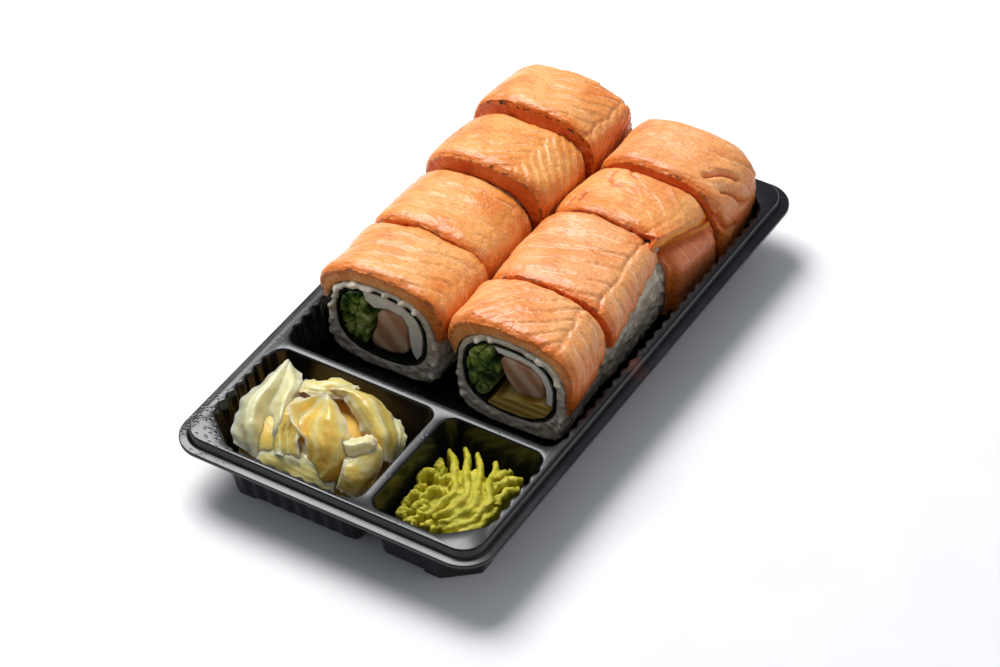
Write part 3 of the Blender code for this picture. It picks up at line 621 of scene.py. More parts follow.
# Cooked fish: opaque pinkish beige muscle in flakes, a little pale fat between them
steamed_fish, tree, place = new_material("steamed_fish")
flake = add(tree, "TexWave", {"Vector": place, "Scale": 62.0, "Distortion": 3.5, "Detail": 2.0,
                              "Detail Scale": 1.5}, bands_direction="DIAGONAL")
muscle = add(tree, "ValToRGB", {"Fac": flake},
             ((0.0, "#bd8864"), (0.45, "#cb9b78"), (0.9, "#dab899")))
relief = add(tree, "Bump", {"Strength": 0.4, "Distance": 0.3 * MM, "Height": flake})
shader = add(tree, "BsdfPrincipled", {
    "Base Color": muscle, "Roughness": 0.4, "Normal": relief, "IOR": 1.38,
    "Subsurface Weight": 0.3, "Subsurface Radius": (1.0, 0.5, 0.3), "Subsurface Scale": 1.5 * MM})
add(tree, "OutputMaterial", {"Surface": shader})

# Soft cheese: smooth, dense and off-white
soft_cheese, tree, place = new_material("soft_cheese")
curd = add(tree, "TexNoise", {"Vector": place, "Scale": 300.0, "Detail": 2.0})
cream = add(tree, "ValToRGB", {"Fac": curd}, ((0.3, "#e9e2cf"), (0.7, "#f7f3e6")))
relief = add(tree, "Bump", {"Strength": 0.2, "Distance": 0.1 * MM, "Height": curd})
shader = add(tree, "BsdfPrincipled", {
    "Base Color": cream, "Roughness": 0.42, "Normal": relief, "Subsurface Weight": 0.2,
    "Subsurface Radius": (0.8, 0.7, 0.5), "Subsurface Scale": 1.0 * MM})
add(tree, "OutputMaterial", {"Surface": shader})

# Pressed omelette: dull yellow egg in thin layers, a little browned between them
pressed_omelette, tree, place = new_material("pressed_omelette")
layers = add(tree, "TexWave", {"Vector": place, "Scale": 120.0, "Distortion": 2.0, "Detail": 2.0},
             bands_direction="Z")
egg = add(tree, "ValToRGB", {"Fac": layers},
          ((0.1, "#c19436"), (0.6, "#dcb455"), (0.95, "#e8c977")))
relief = add(tree, "Bump", {"Strength": 0.3, "Distance": 0.2 * MM, "Height": layers})
shader = add(tree, "BsdfPrincipled", {
    "Base Color": egg, "Roughness": 0.5, "Normal": relief, "Subsurface Weight": 0.15,
    "Subsurface Radius": (1.0, 0.7, 0.3), "Subsurface Scale": 1.0 * MM})
add(tree, "OutputMaterial", {"Surface": shader})

for number, roll in enumerate(ROLL_NAMES):
    draw = random.Random(40 + number)
    for kind, count, gap, material, slot in (("green", 9, 0.07, cut_cucumber, "cucumber"),
                                             ("fish", 1, 0.02, steamed_fish, "cooked_fish")):
        bundle = strand_bundle(f"{kind}_{roll}", count, gap, draw, material,
                               f"{kind}_strands_{roll}")
        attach(bundle, "root")
        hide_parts(f"{kind}_{roll}")
    strips = [(f"cheese_{roll}", soft_cheese, "cream_cheese")]
    if roll[0] == "b":
        strips.append((f"omelette_{roll}", pressed_omelette, "omelette"))
    for node, material, slot in strips:
        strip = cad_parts[node]
        strip.data.materials.clear()
        strip.data.materials.append(material)


# Salmon: a thick slice of fillet over each roll, seared with a flame and cut with the roll.
# Pale fat lies between its flakes in curved lines, the cut ends are deeper orange, and the
# flame left brown specks along their edges.

SKIN_STEP, LONG_STEP, CUT_ROWS = 0.5, 0.5, 6
THINNEST = 0.8
SEAM_WIDTH, SLIT_WIDTH = 0.55, 0.8
# Rays start this far from a roll's axis, and look this many degrees to each side for an end
FAR, MOST_TURN = 60.0, 140

# How the flakes of each slice lie, and how its surface sags, in millimetres:
# spacing: between two fat lines
# slant: how far a line moves to the back for each millimetre to the right on the crown
# seam, bend, groove: how far right of the crown a lengthwise line lies, how much the fat lines
#     turn there, and how deep it is
# step: height of one flake's edge over the next
# front, back, rim: how far the slice sags at its two cuts and at its two ends
# slit: how deep its slits are
# pale, pink, scorch, raw: shares of how much the fat lines, a pinker tone, brown specks and the
#     raw orange of the cuts show
FLAKE_FIELDS = ("spacing", "slant", "seam", "bend", "groove", "step", "front", "back", "rim",
                "slit", "pale", "pink", "scorch", "raw")
FLAKES = {
    "a1": (5.2, 0.35, 22, -0.9, 0.15, 0.42, 0.7, 1.5, 0.9, 0.55, 0.56, 0.15, 0.6, 0.2),
    "a2": (6, 0.25, 19, -0.7, 0.1, 0.3, 0.8, 2.4, 0.9, 0.55, 0.44, 0.1, 0.5, 0.9),
    "a3": (4.4, 0.95, 13, -1.9, 0.1, 0.52, 1, 2.8, 0.9, 0.55, 0.62, 0, 0.6, 0.8),
    "a4": (4.6, 0.55, 21, -1.5, 0.5, 0.42, 0.6, 1.4, 0.9, 0.55, 0.75, 0.2, 1, 0.8),
    "b1": (5.6, 1.15, 17, -1.3, 0.5, 0.6, 0.8, 4, 0.9, 0.55, 1, 0.45, 0.5, 0.12),
    "b2": (6.6, 0.4, 14.5, -0.55, 0.8, 0.6, 0.4, 1.2, 0.9, 0.55, 0.94, 0.6, 0.7, 1),
    "b3": (6.5, -0.7, 99, 0, 0, 0.22, 0.6, 3.4, 0.9, 0.55, 0.25, 0.25, 0.4, 0.8),
    "b4": (6, 0.45, 99, 0, 0, 0.38, 1.2, 1.4, 0.9, 1.9, 0.5, 0.55, 0.6, 0.9),
    "lower_b3": (7, 0.3, 99, 0, 0, 0.3, 3, 2.6, 1.8, 0.55, 0.31, 1, 0.1, 0.2),
}

# Slits where the flame opened a slice: lines through places right of the crown and behind
# the front cut
SLITS = {
    "b3": (((-9, 21), (-9.5, 17.5), (-6.5, 14.5), (-3.5, 15.5)), ((-5, 24), (-4, 21), (-1, 20)),
           ((-12.5, 9), (-12.5, 4)), ((-15, 6), (-15.5, 2))),
    "b4": (((8.5, 6), (11, 9), (13, 11), (16, 13), (19, 14.3)),
           ((16, 6), (20, 9.5), (25, 12), (29, 16)),
           ((20, 0.6), (25, 1.6), (29, 4), (31, 8))),
}
# The two lobes of the torn slice, and how far from the slit each is golden. The slit climbs
# towards the front, round the roll's bend, and rows of flesh close it below
TORN = {"b3": 2.6, "lower_b3": 1.3}
SLIT_CLIMB, CLIMB_REACH, ROLL_BEND = 8.0, 18, 22.0
LOBE_BULGE = 1.1
UNDER_ROWS, UNDER_DEPTH = 6, 2.0


def strike(tree, start, toward, reach):
    """Distance from a start to a surface along a direction, or None. Lengths are millimetres."""
    hit = tree.ray_cast(start * MM, toward, reach * MM)
    return None if hit[0] is None else hit[3] / MM


def filled(values):
    """Fills the gaps in a row of numbers from their neighbours."""
    known = [(i, v) for i, v in enumerate(values) if v is not None]
    return np.interp(range(len(values)), [i for i, _ in known], [v for _, v in known])


def slab_form(node, rice_node):
    """Outer and inner surface of a slab as grids, read off its CAD node by rays.

    A row of a grid runs along the roll, and the rows follow each other round it.
    """
    tree = shell_of(node)
    low, high = (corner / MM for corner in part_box(node))
    rice_low, rice_high = (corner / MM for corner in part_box(rice_node))
    axis = (rice_low + rice_high) / 2

    def direction(deg):
        return Vector((math.cos(math.radians(deg)), 0, math.sin(math.radians(deg))))

    def outer_at(y, deg):
        toward = direction(deg)
        hit = strike(tree, Vector((axis.x, y, axis.z)) + toward * FAR, -toward, FAR - 4)
        return None if hit is None else FAR - hit

    def inner_at(y, deg):
        return strike(tree, Vector((axis.x, y, axis.z)), direction(deg), FAR)

    # Angles of the two ends round the roll, each a straight line along it
    start = 90.0
    if "lower" in node:
        inside = (low + high) / 2
        start = math.degrees(math.atan2(inside.z - axis.z, inside.x - axis.x))
    shares = np.linspace(0.12, 0.88, 7)
    ends = []
    for sign in (-1, 1):
        found = []
        for share in shares:
            y = low.y + (high.y - low.y) * share
            inner = outer = start
            while abs(outer - start) < MOST_TURN and outer_at(y, outer) is not None:
                inner = outer
                outer += sign * 2.0
            for _ in range(6):
                half = (inner + outer) / 2
                inner, outer = (half, outer) if outer_at(y, half) is not None else (inner, half)
            found.append(inner)
        ends.append(np.polyfit(shares, found, 1))
    radius = outer_at((low.y + high.y) / 2, start)
    arc = radius * math.radians(np.polyval(ends[1], 0.5) - np.polyval(ends[0], 0.5))
    across = max(12, int(arc / SKIN_STEP))
    length = high.y - low.y
    near_edge = np.array((0.0, 0.12, 0.3, 0.6)) / length
    along = max(8, int(length / LONG_STEP))
    steps = np.concatenate((near_edge, np.linspace(1.0, length - 1.0, along) / length,
                            1 - near_edge[::-1]))

    # Where each row meets the front and the back cut
    fronts, backs = [], []
    for t in np.linspace(0, 1, across + 1):
        for share, sign, kept in ((0.06, 1, fronts), (0.94, -1, backs)):
            y = low.y + length * share
            deg = np.polyval(ends[0], share) * (1 - t) + np.polyval(ends[1], share) * t
            outer, inner = outer_at(y, deg), inner_at(y, deg)
            if outer is None or inner is None:
                kept.append(None)
                continue
            spot = Vector((axis.x, y, axis.z)) + direction(deg) * (outer + inner) / 2
            spot.y = low.y - 20 if sign > 0 else high.y + 20
            hit = strike(tree, spot, Vector((0, sign, 0)), FAR)
            kept.append(None if hit is None else spot.y + sign * hit)
    fronts, backs = filled(fronts), filled(backs)

    # Both surfaces, row by row. Gaps are filled from the rows beside them, then all is smoothed
    outer = np.zeros((across + 1, len(steps), 3))
    inner = np.zeros_like(outer)
    for i, t in enumerate(np.linspace(0, 1, across + 1)):
        outs, ins, places = [], [], []
        for share in steps:
            y = fronts[i] + (backs[i] - fronts[i]) * share
            held = min(max(share, 0.004), 0.996)
            held_y = fronts[i] + (backs[i] - fronts[i]) * held
            deg = np.polyval(ends[0], share) * (1 - t) + np.polyval(ends[1], share) * t
            deg = min(max(deg, np.polyval(ends[0], share) + 0.8), np.polyval(ends[1], share) - 0.8)
            outs.append(outer_at(held_y, deg))
            ins.append(inner_at(held_y, deg))
            places.append((y, direction(deg)))
        if not any(v is not None for v in outs) or not any(v is not None for v in ins):
            outer[i], inner[i] = np.nan, np.nan
            continue
        for j, (radius_out, radius_in) in enumerate(zip(filled(outs), filled(ins))):
            y, toward = places[j]
            outer[i, j] = (axis.x + toward.x * radius_out, y, axis.z + toward.z * radius_out)
            inner[i, j] = (axis.x + toward.x * radius_in, y, axis.z + toward.z * radius_in)
    for grid in (outer, inner):
        good = ~np.isnan(grid[:, 0, 0])
        rows = np.arange(len(grid))
        for j in range(grid.shape[1]):
            for c in range(3):
                grid[:, j, c] = np.interp(rows, rows[good], grid[good, j, c])
        for _ in range(6):
            grid[1:-1] = (grid[:-2] + 2 * grid[1:-1] + grid[2:]) / 4
    return outer, inner


def block_skin(outer, inner, rows):
    """Closed skin of the block between two grids: points, faces and each point's grid place."""
    a, b = outer.shape[:2]
    c = rows + 2
    i, j, k = np.meshgrid(np.arange(a), np.arange(b), np.arange(c), indexing="ij")
    on_skin = (i == 0) | (i == a - 1) | (j == 0) | (j == b - 1) | (k == 0) | (k == c - 1)
    index = np.full((a, b, c), -1)
    index[on_skin] = np.arange(on_skin.sum())
    share = (k / (c - 1))[..., None]
    points = (outer[:, :, None] * (1 - share) + inner[:, :, None] * share)[on_skin]
    faces = []
    for grid, flip in ((index[:, :, 0], False), (index[:, :, -1], True), (index[0], True),
                       (index[-1], False), (index[:, 0], True), (index[:, -1], False)):
        quads = np.stack((grid[:-1, :-1], grid[1:, :-1], grid[1:, 1:], grid[:-1, 1:]), -1)
        quads = quads.reshape(-1, 4)
        faces.append(quads[:, ::-1] if flip else quads)
    return points, np.vstack(faces), i[on_skin], j[on_skin], k[on_skin]


def grid_normals(grid):
    """Unit normals of a grid of points, pointing out of the roll."""
    first = np.gradient(grid, axis=0)
    second = np.gradient(grid, axis=1)
    normals = np.cross(second, first)
    return normals / np.maximum(np.linalg.norm(normals, axis=2, keepdims=True), 1e-9)


def lumps(points, reach, shift=0.0):
    """Smooth noise at an array of points, with features of some millimetres."""
    flat = points.reshape(-1, 3) / reach + shift
    return np.array([noise.noise(p) for p in flat]).reshape(points.shape[:-1])


def flake_phase(flakes, across, along):
    """Number of the flake at a place: whole numbers lie in the middle of a fat line."""
    turn = np.clip(across - flakes["seam"], 0, None)
    ease = np.sqrt(across ** 2 + 36) - 6
    lean = flakes["slant"] * np.where(across < 0, across * 0.8, ease)
    line = along - lean - flakes["bend"] * turn
    jog = 0.4 * np.clip(turn / 0.8, 0, 1)
    return line / flakes["spacing"] + jog


def near_lines(lines, across, along):
    """Distance of places on a slice to the nearest of some lines."""
    best = np.full(across.shape, 99.0)
    for line in lines:
        for (x0, y0), (x1, y1) in zip(line, line[1:]):
            dx, dy = x1 - x0, y1 - y0
            t = np.clip(((across - x0) * dx + (along - y0) * dy) / (dx * dx + dy * dy), 0, 1)
            best = np.minimum(best, np.hypot(across - x0 - t * dx, along - y0 - t * dy))
    return best


# Seared salmon: cooked matt flesh in peach and gold, a deeper orange on the right flanks that is
# partly painted shade, raw orange at the cuts, cream fat lines, brown flame specks and a film
# of oil that gives the small highlights
seared_salmon, tree, place = new_material("seared_salmon")
of = {title: add(tree, "Attribute", attribute_name=title).outputs["Fac"]
      for title in ("flake", "from_front", "depth", "sideways", "pale", "pink", "scorch", "raw",
                    "golden")}
broad = add(tree, "TexNoise", {"Vector": place, "Scale": 90.0, "Detail": 3.0})
patch = add(tree, "TexNoise", {"Vector": place, "Scale": 170.0, "Detail": 2.0})
fine = add(tree, "TexNoise", {"Vector": place, "Scale": 1000.0, "Detail": 3.0})
turned = add(tree, "Mapping",
             {"Vector": place, "Rotation": (0.0, 0.0, 0.65), "Scale": (0.22, 1.0, 0.6)})
fibre = add(tree, "TexNoise", {"Vector": turned, "Scale": 1100.0, "Detail": 2.0})
golden_tone = add(tree, "ValToRGB", {"Fac": broad},
                  ((0.30, "#e68436"), (0.45, "#ef9a48"), (0.60, "#f6ae62"), (0.75, "#ec9846")))
pink_tone = add(tree, "ValToRGB", {"Fac": broad},
                ((0.30, "#e5864c"), (0.5, "#f1a168"), (0.7, "#f4b07c")))
top_tone = add(tree, "MixRGB", {"Fac": of["pink"], "Color1": golden_tone, "Color2": pink_tone})
# Flank tone: the flanks' deeper orange, darkened further as painted shade where they turn from the
# light
side_tone = add(tree, "MixRGB",
                {"Fac": of["pink"], "Color1": linear("#da6d22"), "Color2": linear("#de7d4c")})
body = add(tree, "MixRGB", {"Fac": of["sideways"], "Color1": top_tone, "Color2": side_tone})
wobble = add(tree, "Math", {0: broad, 1: 0.3, 2: of["flake"]}, operation="MULTIPLY_ADD")
saw = add(tree, "Math", {0: wobble, 1: 0.5}, operation="PINGPONG")
line = add(tree, "MapRange", {"Value": saw, "From Min": 0.06, "From Max": 0.015},
           interpolation_type="SMOOTHSTEP")
fades = add(tree, "MapRange", {"Value": patch, "From Min": 0.38, "From Max": 0.58})
fat = add(tree, "Math", {0: line, 1: of["pale"]}, operation="MULTIPLY")
fat = add(tree, "Math", {0: fat, 1: fades}, operation="MULTIPLY")
fatty = add(tree, "MixRGB", {"Fac": fat, "Color1": body, "Color2": linear("#f8cfa6")})
gilded = add(tree, "MixRGB", {"Fac": of["golden"], "Color1": fatty, "Color2": linear("#f0981f")})
cut_share = add(tree, "MapRange", {"Value": of["depth"], "From Min": 0.25, "From Max": 1.0},
                interpolation_type="SMOOTHSTEP")
cut_share = add(tree, "Math", {0: cut_share, 1: of["raw"]}, operation="MULTIPLY")
raw_tone = add(tree, "ValToRGB", {"Fac": broad}, ((0.3, "#bd4410"), (0.7, "#dd6a24")))
crust = add(tree, "MapRange", {"Value": of["from_front"], "From Min": 4.0, "From Max": 0.4,
                               "To Max": 0.8}, interpolation_type="SMOOTHSTEP")
skin_deep = add(tree, "MapRange", {"Value": of["depth"], "From Min": 2.2, "From Max": 0.7})
crust = add(tree, "Math", {0: crust, 1: skin_deep}, operation="MULTIPLY")
crusted = add(tree, "MixRGB", {"Fac": crust, "Color1": gilded, "Color2": linear("#e2741a")})
mottle = add(tree, "MapRange",
             {"Value": fibre, "From Min": 0.3, "From Max": 0.7, "To Min": 0.86, "To Max": 1.08})
mottled = add(tree, "VectorMath", {0: crusted, "Scale": mottle}, operation="SCALE")
flesh = add(tree, "MixRGB", {"Fac": cut_share, "Color1": mottled, "Color2": raw_tone})
speck = add(tree, "TexNoise", {"Vector": place, "Scale": 520.0, "Detail": 4.0})
near_cut = add(tree, "MapRange",
               {"Value": of["from_front"], "From Min": 1.0, "From Max": 0.0, "To Max": 0.26})
burn = add(tree, "Math", {0: speck, 1: near_cut}, operation="ADD")
burn = add(tree, "Math", {0: patch, 1: 0.55, 2: burn}, operation="MULTIPLY_ADD")
shallow = add(tree, "MapRange", {"Value": of["depth"], "From Min": 1.6, "From Max": 0.3})
burn = add(tree, "Math", {0: burn, 1: shallow}, operation="MULTIPLY")
char = add(tree, "MapRange", {"Value": burn, "From Min": 1.02, "From Max": 1.10, "To Max": 0.95})
char = add(tree, "Math", {0: char, 1: of["scorch"]}, operation="MULTIPLY")
charred = add(tree, "MixRGB", {"Fac": char, "Color1": flesh, "Color2": linear("#2b1007")})
gloss = add(tree, "MapRange",
            {"Value": patch, "From Min": 0.3, "From Max": 0.7, "To Min": 0.32, "To Max": 0.5})
grit = add(tree, "Math", {0: fibre, 1: 1.3, 2: fine}, operation="MULTIPLY_ADD")
relief = add(tree, "Bump", {"Strength": 1.0, "Distance": 0.34 * MM, "Height": grit})
shader = add(tree, "BsdfPrincipled", {
    "Base Color": charred, "Roughness": gloss, "Normal": relief, "IOR": 1.42,
    "Subsurface Weight": 0.25, "Subsurface Radius": (1.0, 0.4, 0.2), "Subsurface Scale": 1.3 * MM,
    "Coat Weight": 0.32, "Coat Roughness": 0.2})
add(tree, "OutputMaterial", {"Surface": shader})

slabs = [(roll, f"salmon_{roll}", roll) for roll in ROLL_NAMES]
slabs.append(("lower_b3", "salmon_lower_b3", "b3"))
for number, (label, node, roll) in enumerate(slabs):
    outer, inner = slab_form(node, f"rice_{roll}")
    flakes = dict(zip(FLAKE_FIELDS, FLAKES[label]))
    normals = grid_normals(outer)
    crown = int(np.argmax(outer[:, outer.shape[1] // 2, 2]))
    lengths = np.linalg.norm(np.diff(outer, axis=0), axis=2)
    arc = np.concatenate((np.zeros((1, outer.shape[1])), np.cumsum(lengths, axis=0)))
    across = arc[crown] - arc
    along = outer[:, :, 1] - outer[:, :1, 1]
    length = along[:, -1:]
    from_back = length - along
    from_rim = np.minimum(arc, arc[-1] - arc)
    # How much of the flank tone and its painted shade a place takes: right of the crown, where the
    # slice turns down, and all of the lower lobe under the slit
    facing = np.clip(0.8 - normals[:, :, 2], 0, 1) * np.clip(across / 10, 0, 1)
    if label == "lower_b3":
        facing = np.ones_like(facing)

    # A flake's edge stands over the next flake, and the seam is a groove
    phase = flake_phase(flakes, across, along + lumps(outer, 9.0, number) * 1.6) + number * 0.37
    share = phase % 1
    edge = np.where(share < 0.1, share / 0.1, (1 - share) / 0.9) - 0.5
    relief = flakes["step"] * edge * (0.35 + 0.65 * np.clip(across / 12, 0, 1))
    seam_gap = np.abs(across - flakes["seam"] - lumps(outer, 5.0, 7.0) * 1.2)
    relief -= np.exp(-(seam_gap / SEAM_WIDTH) ** 2) * flakes["groove"]
    slit_gap = near_lines(SLITS.get(label, ()), across, along)
    relief -= np.exp(-(slit_gap / SLIT_WIDTH) ** 2) * flakes["slit"]

    # The slice is lumpy, and sags and rounds off at its cuts and at its ends
    relief += lumps(outer, 13.0, 3.0 + number) * 0.9 + lumps(outer, 5.0, 3.0) * 0.16
    relief += lumps(outer, 1.5, 5.0) * 0.13
    sag_wave = 0.6 + 0.8 * np.clip(0.5 + lumps(outer, 10.0, 21.0 + number), 0, 1)
    relief -= flakes["back"] * sag_wave * np.clip(1 - from_back / 6, 0, 1) ** 2
    relief -= flakes["front"] * np.clip(1 - along / (1 + flakes["front"]), 0, 1) ** 2
    relief -= flakes["rim"] * np.clip(1 - from_rim / 4, 0, 1) ** 2
    thick = np.linalg.norm(outer - inner, axis=2)
    shaped = outer + normals * np.maximum(relief, THINNEST - thick)[..., None]
    shaped[:, :, 1] += lumps(outer, 6.0, 9.0) * 0.5 * np.clip(1 - along / 3, 0, 1)
    shaped[:, 0, 1] += lumps(outer, 1.4, 11.0)[:, 0] * 0.35
    shaped[:, -1, 1] += lumps(outer, 1.4, 11.0)[:, -1] * 0.35
    if label in TORN:
        # The slit curves up towards the front, and the lower lobe bulges out under it
        to_slit = arc if label == "b3" else arc[-1] - arc
        tangent = np.gradient(outer, axis=0)
        tangent /= np.linalg.norm(tangent, axis=2, keepdims=True)
        climb = SLIT_CLIMB * (1 - along / length) ** 1.2
        climb *= np.clip(1 - to_slit / CLIMB_REACH, 0, 1)
        moved = tangent * climb[..., None] - normals * (climb ** 2 / (2 * ROLL_BEND))[..., None]
        shaped += moved
        inner = inner + moved
    if label == "lower_b3":
        shaped += normals * (np.exp(-((to_slit - 6) / 4) ** 2) * LOBE_BULGE)[..., None]
        under = np.linspace(0, 1, UNDER_ROWS + 1)[1:, None, None]
        run = np.linspace(0, 1, shaped.shape[1])
        meet_out, meet_in = (
            np.stack([np.interp(run, np.linspace(0, 1, len(row)), row[:, c]) for c in range(3)],
                     axis=1)
            for row in (upper_lobe[0] * 0.4 + upper_lobe[1] * 0.6, upper_lobe[1]))
        last_row = len(shaped) - 1
        slit_floor = (shaped[-1] * 0.4 + inner[-1] * 0.6) * (1 - under) + meet_out * under
        shaped = np.concatenate((shaped, slit_floor))
        inner = np.concatenate((inner, inner[-1] * (1 - under) + meet_in * under))
        phase, along, facing, thick, arc, slit_gap = (
            np.concatenate((values, np.repeat(values[-1:], UNDER_ROWS, axis=0)))
            for values in (phase, along, facing, thick, arc, slit_gap))
    if label == "b3":
        upper_lobe = shaped[0], inner[0]
    points, faces, i, j, k = block_skin(shaped, inner, CUT_ROWS)
    on_cut = (k > 0) & (k < CUT_ROWS + 1) & ((j == 0) | (j == outer.shape[1] - 1))
    tears = np.array([noise.noise(p / 1.3) for p in points]) * 0.3
    points[:, 1] += np.where(on_cut, tears, 0)
    slab = new_piece(f"slice_{label}", points, faces.tolist(), seared_salmon)

    # What the material reads at each point: how golden and how raw it is, and how deep it lies
    golden = np.clip(1.2 - slit_gap / 0.9, 0, 1) * 0.8
    raw = np.full(len(i), flakes["raw"])
    if label in TORN:
        to_slit = arc if label == "b3" else arc[-1] - arc
        golden = np.maximum(golden, np.clip(1.2 - to_slit / TORN[label], 0, 1))
        raw = np.maximum(raw, np.clip(1.5 - to_slit[i, j], 0, 1))
    depth = thick[i, j] * k / (CUT_ROWS + 1) + np.exp(-(slit_gap[i, j] / 0.45) ** 2) * 1.4
    if label == "lower_b3":
        depth[i > last_row] = UNDER_DEPTH
    layers = {"flake": phase[i, j], "from_front": along[i, j], "sideways": facing[i, j],
              "golden": golden[i, j] * np.exp(-depth / 0.8), "depth": depth, "raw": raw}
    layers.update((title, np.full(len(i), flakes[title]))
                  for title in ("pale", "pink", "scorch"))
    for title, values in layers.items():
        layer = slab.data.attributes.new(title, "FLOAT", "POINT")
        layer.data.foreach_set("value", values.astype(np.float32))
    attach(slab, "root")
    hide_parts(node)


# Ginger: thin slices of pickled ginger root, folded over each other in a loose pile. Each
# slice is a soft sheet through a few guide lines, over a low heap of more slices.

GINGER_SHEET = 0.6
# The slices on top: how amber each is, how high its pleats are, and the lines along it
LEAVES = (
    # fan at the left, pleated, from a peak at the back down to the front
    (0.35, 0.3, (
        ((-39.3, -54.7, 23), (-42.2, -61.7, 21), (-44.6, -69.4, 19), (-43.6, -76.7, 17),
         (-39.3, -83.5, 14)),
        ((-37.9, -55.7, 26), (-36.5, -65.7, 26), (-36.6, -73.7, 25), (-33.9, -80.9, 22),
         (-31.7, -85.9, 15)),
        ((-37.2, -55.6, 26), (-33.7, -64.7, 25), (-33.4, -71.2, 22), (-30.4, -76.4, 19),
         (-27.1, -85.3, 14)),
        ((-36.2, -56.1, 25), (-30.5, -64.1, 27), (-28.8, -71, 26.5), (-25.9, -78.1, 23.5),
         (-23.3, -84.9, 15)),
        ((-33.4, -55.9, 23), (-27.9, -62.3, 25), (-26.9, -69, 23), (-23.2, -76.2, 21),
         (-18.4, -84, 15)))),
    # slab at the back
    (0.75, 0.06, (
        ((-32.3, -55.1, 20), (-25.6, -55.4, 22), (-20.4, -53.5, 24.5), (-14, -53, 23)),
        ((-29.7, -61.2, 25), (-23.3, -60.4, 27), (-18.4, -57.8, 28), (-13.4, -56, 26)),
        ((-28.7, -65.1, 25), (-22.3, -65.1, 26), (-18.4, -63.5, 26), (-12.4, -60.9, 25)))),
    # dome at the right, over a hollow
    (0.8, 0.1, (
        ((-19, -62, 27), (-14.2, -61.7, 27), (-10.4, -63.8, 25), (-5.2, -65.9, 22),
         (-0.7, -68, 20), (3.7, -70.2, 17)),
        ((-18.1, -61.7, 28.5), (-11.6, -60.9, 29.5), (-5.9, -62.2, 28.5), (-0.1, -65.3, 26.5),
         (4, -67.9, 24), (6, -70.4, 18)),
        ((-19, -59, 26), (-12.3, -57.1, 27), (-6, -57.1, 26), (-0.5, -59.6, 24.5),
         (4.6, -63.5, 21), (6.6, -69.2, 16)),
        ((-20.4, -55.8, 22), (-13.9, -52.8, 20), (-6.8, -52.2, 19), (0.4, -54.6, 17),
         (5.6, -61.1, 15), (6.3, -65.3, 13)))),
    # large petal in the middle: a bowl at its left, a ridge down its right, a loop in front
    (1, 0.05, (
        ((-18.2, -66.9, 30.6), (-21.8, -70.4, 29.4), (-24.6, -74, 28.8), (-22.8, -77, 27.8),
         (-18.4, -79.2, 26.6), (-14.6, -80.2, 24), (-13.6, -82, 20), (-14.2, -84.6, 16)),
        ((-17.2, -67.2, 30.6), (-18.8, -71, 27.2), (-20.4, -74.4, 25.4), (-18.4, -77.6, 24.6),
         (-14.6, -79.8, 24.4), (-11.4, -81.2, 23), (-11.2, -83.2, 19.4), (-12, -85.4, 15.4)),
        ((-16.3, -67, 31), (-15.6, -71.2, 28.4), (-14.6, -75.2, 27.2), (-11.4, -78.8, 26.8),
         (-8.2, -81, 25.4), (-7, -82.4, 22), (-8.6, -84, 18.4), (-10.4, -85.6, 15)),
        ((-15.7, -67.1, 31.4), (-12.6, -70.9, 30.6), (-8.9, -74.9, 29.4), (-5.5, -77.4, 27.6),
         (-3.5, -79.6, 24.8), (-3.1, -81.8, 21), (-5.1, -84, 17.6), (-8, -85.6, 14.5)),
        ((-15.2, -66.2, 30.2), (-10.6, -67.9, 28), (-6, -71.7, 26.2), (-2.8, -74.7, 24),
         (-1.2, -76.9, 21), (-1.4, -79.6, 17.4), (-3.2, -82.9, 14), (-5.4, -84.6, 12)))),
    # small ruffled curl
    (0.4, 0.25, (
        ((-5.9, -76, 25.2), (-3.5, -73.6, 24.6), (-0.8, -70.3, 25.2), (2.2, -69, 24)),
        ((-4.3, -77, 26), (-0.5, -77.3, 26), (2, -74.4, 26.6), (4.2, -71.2, 25.4)),
        ((-2.9, -77.7, 23), (0.2, -78, 22), (3, -74.8, 22.6), (4.7, -72.1, 22)))),
    # leaf at the front right
    (0.7, 0.1, (
        ((-5.2, -75.6, 20.6), (-2, -72.2, 22.4), (0.6, -69.2, 22), (1.6, -66, 20.6)),
        ((-1.9, -79.6, 22), (2, -76.8, 23.4), (4.4, -73.4, 22.8), (5, -69, 20)),
        ((-0.9, -83, 20), (3.4, -82.2, 20.4), (5.6, -79.6, 19), (6.1, -74.4, 16)),
        ((-1.7, -84.6, 15), (2.4, -85, 14), (4.7, -82.6, 13), (4.9, -77.7, 11.5)))),
    # strip along the ribs in front
    (0.5, 0.12, (
        ((-30, -78, 17.5), (-22, -78.5, 20), (-14, -79.5, 20.5), (-6, -80, 17)),
        ((-30.5, -82.5, 16.8), (-21, -83, 19), (-12, -83.4, 18.8), (-3.4, -82.8, 16)),
        ((-30, -86.4, 14), (-20, -87, 15.6), (-11, -86.8, 15.2), (-2.4, -85.6, 13)),
        ((-29.8, -87.8, 10), (-19.8, -88, 10.5), (-11, -87.8, 10.5), (-3, -86.8, 10)))),
    # thin slice behind the dome
    (0.4, 0.1, (
        ((-5.4, -58.6, 20), (0.4, -61.7, 19), (3.5, -65.4, 17), (4.5, -69, 15)),
        ((-4, -56.6, 22), (1.4, -58.9, 21), (5.2, -62.4, 19.5), (6, -67, 16)),
        ((-2.4, -54.9, 20), (3.2, -56.9, 19.4), (7, -61, 17.6), (6.9, -66.4, 14)))),
    # slice under the petal's left lip
    (0.9, 0.15, (
        ((-27.6, -68.4, 24), (-28.4, -73, 24), (-27.6, -78.6, 21.4), (-24.6, -84.4, 16)),
        ((-24.6, -67.8, 26.4), (-25, -73, 26.2), (-24.2, -79.2, 24), (-21.4, -84.8, 19)),
        ((-21.6, -68.2, 25.6), (-22, -73.4, 24.8), (-21, -79.6, 22.4), (-18.2, -85, 17.4)),
        ((-18, -68.6, 25.4), (-18.4, -74, 25.2), (-17.2, -80, 23.2), (-14.4, -85, 18.4)))),
)


